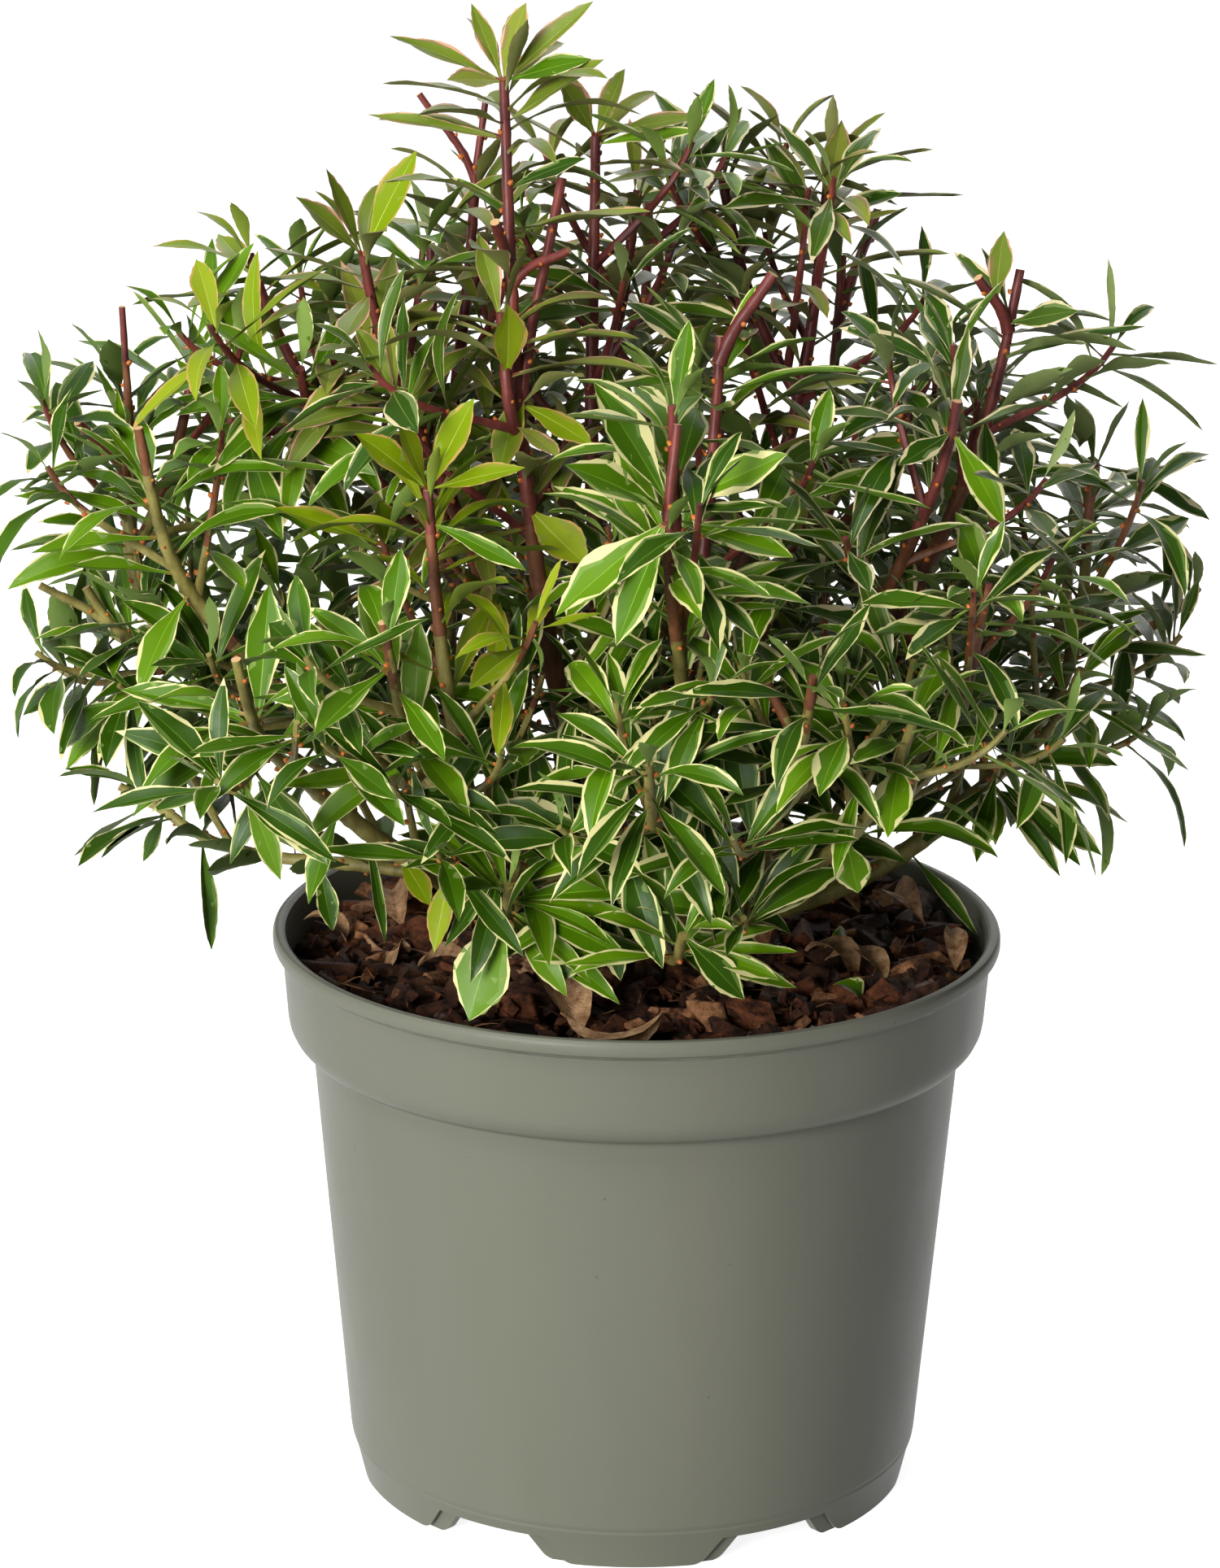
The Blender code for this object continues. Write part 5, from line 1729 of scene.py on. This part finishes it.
# %% Chips on the bed
CHIP_COUNT = 1250
CHIP_SIZES = (0.004, 0.005, 0.006, 0.007, 0.009, 0.011, 0.015)
# Dark chips are the most, and brown and grey ones the fewest
CHIP_KINDS = (0, 0, 0, 0, 0, 1, 1, 1, 2, 3)
BED_REACH = 0.0865
WALL_REACH = 0.0905


def heading_way(heading, rise):
    """A way over the bed at a heading, tipped by a rise."""
    return Vector((math.cos(heading), math.sin(heading), rise)).normalized()


chance = random.Random(f"{SEED} chips")
chips = Heap()
for index in range(CHIP_COUNT):
    away = BED_REACH * math.sqrt(chance.random())
    turn = chance.uniform(0.0, FULL_TURN)
    size = chance.choice(CHIP_SIZES) * chance.uniform(0.8, 1.2)
    away = min(away, WALL_REACH - 0.5 * size)
    place = around(away, turn, MEDIUM_TOP + chance.uniform(-0.0010, 0.0034))
    heading = chance.uniform(0.0, FULL_TURN)
    way = heading_way(heading, chance.uniform(-0.5, 0.5))
    up = Vector((chance.uniform(-1.2, 1.2), chance.uniform(-1.2, 1.2), 1.0)).normalized()
    shape = chance.choice(SPLINTERS)
    kind = chance.choice(CHIP_KINDS)
    points = placed(shape[0], place, way, up, size)
    chips.add(points, shape[1], shape[2], np.full(len(shape[2]), kind))
chip_piece = chips.to_object("bark_chips", CHIPS, 25.0)
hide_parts("growing_medium")
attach(chip_piece, "root")

# %% Fibres
FIBRE_COUNT = 260
FIBRE_REACH = 0.088
FIBRE_RADII = (0.00025, 0.00012)

fibres = Heap()
for index in range(FIBRE_COUNT):
    away = BED_REACH * math.sqrt(chance.random())
    turn = chance.uniform(0.0, FULL_TURN)
    heading = chance.uniform(0.0, FULL_TURN)
    start = around(away, turn, MEDIUM_TOP + chance.uniform(0.001, 0.004))
    way = heading_way(heading, chance.uniform(-0.15, 0.2))
    length = chance.uniform(0.005, 0.014)
    middle = start + way * length * 0.5 + Vector((0.0, 0.0, chance.uniform(-0.001, 0.002)))
    end = start + way * length
    if max(math.hypot(end.x, end.y), math.hypot(start.x, start.y)) < FIBRE_REACH:
        tone = chance.choice((0, 1))
        tube(fibres, [start, middle, end], FIBRE_RADII, lambda point: tone, 4, 0.003, 0.0, [])
fibre_piece = fibres.to_object("mulch_fibres", [CHIPS[2], CHIPS[0]])
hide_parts("growing_medium")
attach(fibre_piece, "root")

# %% Fallen leaves
DRY_COUNT = 14
DRY_SPREAD = 0.080
DRY_REACH = 0.0885
DRY_SHAPES = [leaf_shape(300 + index, 1.6 + 0.5 * (index % 3), 0.7, 1.25) for index in range(5)]
# Those that show in front: stalk and tip in millimetres, width, and whether the leaf is still green
FALLEN = (
    ((-30, -38), (-13, -71), 1.1, False), ((30, 62), (48, 44), 0.9, False),
    ((44, -14), (59, -30), 0.7, False), ((82, 5), (83, -16), 0.5, False),
    ((-88, 12), (-73, 5), 0.5, False), ((-50, 53), (-43, 34), 0.9, False),
    ((50, -38), (59, -42), 0.6, True), ((49, -8), (60, -2), 0.7, True),
)


def lie_on_bed(points, room):
    """Points are lifted until the lowest is just over the bed."""
    points[:, 2] += max(0.0, MEDIUM_TOP + room - points[:, 2].min())


dry = Heap()
for index in range(DRY_COUNT):
    away = DRY_SPREAD * math.sqrt(chance.random())
    turn = chance.uniform(0.0, FULL_TURN)
    heading = chance.uniform(0.0, FULL_TURN)
    place = around(away, turn, MEDIUM_TOP + 0.0035)
    way = heading_way(heading, chance.uniform(-0.05, 0.15))
    tilt = (chance.uniform(-0.8, 0.8), chance.uniform(-0.8, 0.8))
    up = Vector((*tilt, chance.choice((1.0, -1.0)))).normalized()
    shape = chance.choice(DRY_SHAPES)
    points = placed(shape[0][0], place, way, up, LEAF_LENGTH * chance.uniform(0.45, 0.85))
    lie_on_bed(points, 0.0005)
    if np.hypot(points[:, 0], points[:, 1]).max() < DRY_REACH:
        dry.add(points, shape[0][1], shape[0][2], 0 * shape[0][3])
for index, (stalk, tip, width, green) in enumerate(FALLEN):
    stalk = Vector((*stalk, 145.5)) * MM
    way = Vector((*tip, 144.0)) * MM - stalk
    length = way.length
    shape = DRY_SHAPES[index % 5]
    points = shape[0][0] * np.array((1.0, width * LEAF_LENGTH / length, 1.0))
    points = placed(points, stalk, way.normalized(), Vector((0.2, -0.3, 1.0)).normalized(), length)
    lie_on_bed(points, 0.0012)
    # The first finish is the dry one, and a green leaf has those that follow it
    dry.add(points, shape[0][1], shape[0][2], shape[0][3] + 1 if green else 0 * shape[0][3])
dry_piece = dry.to_object("fallen_leaves", [dry_finish] + tint_finishes["fresh"], 60.0)
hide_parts("growing_medium")
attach(dry_piece, "root")
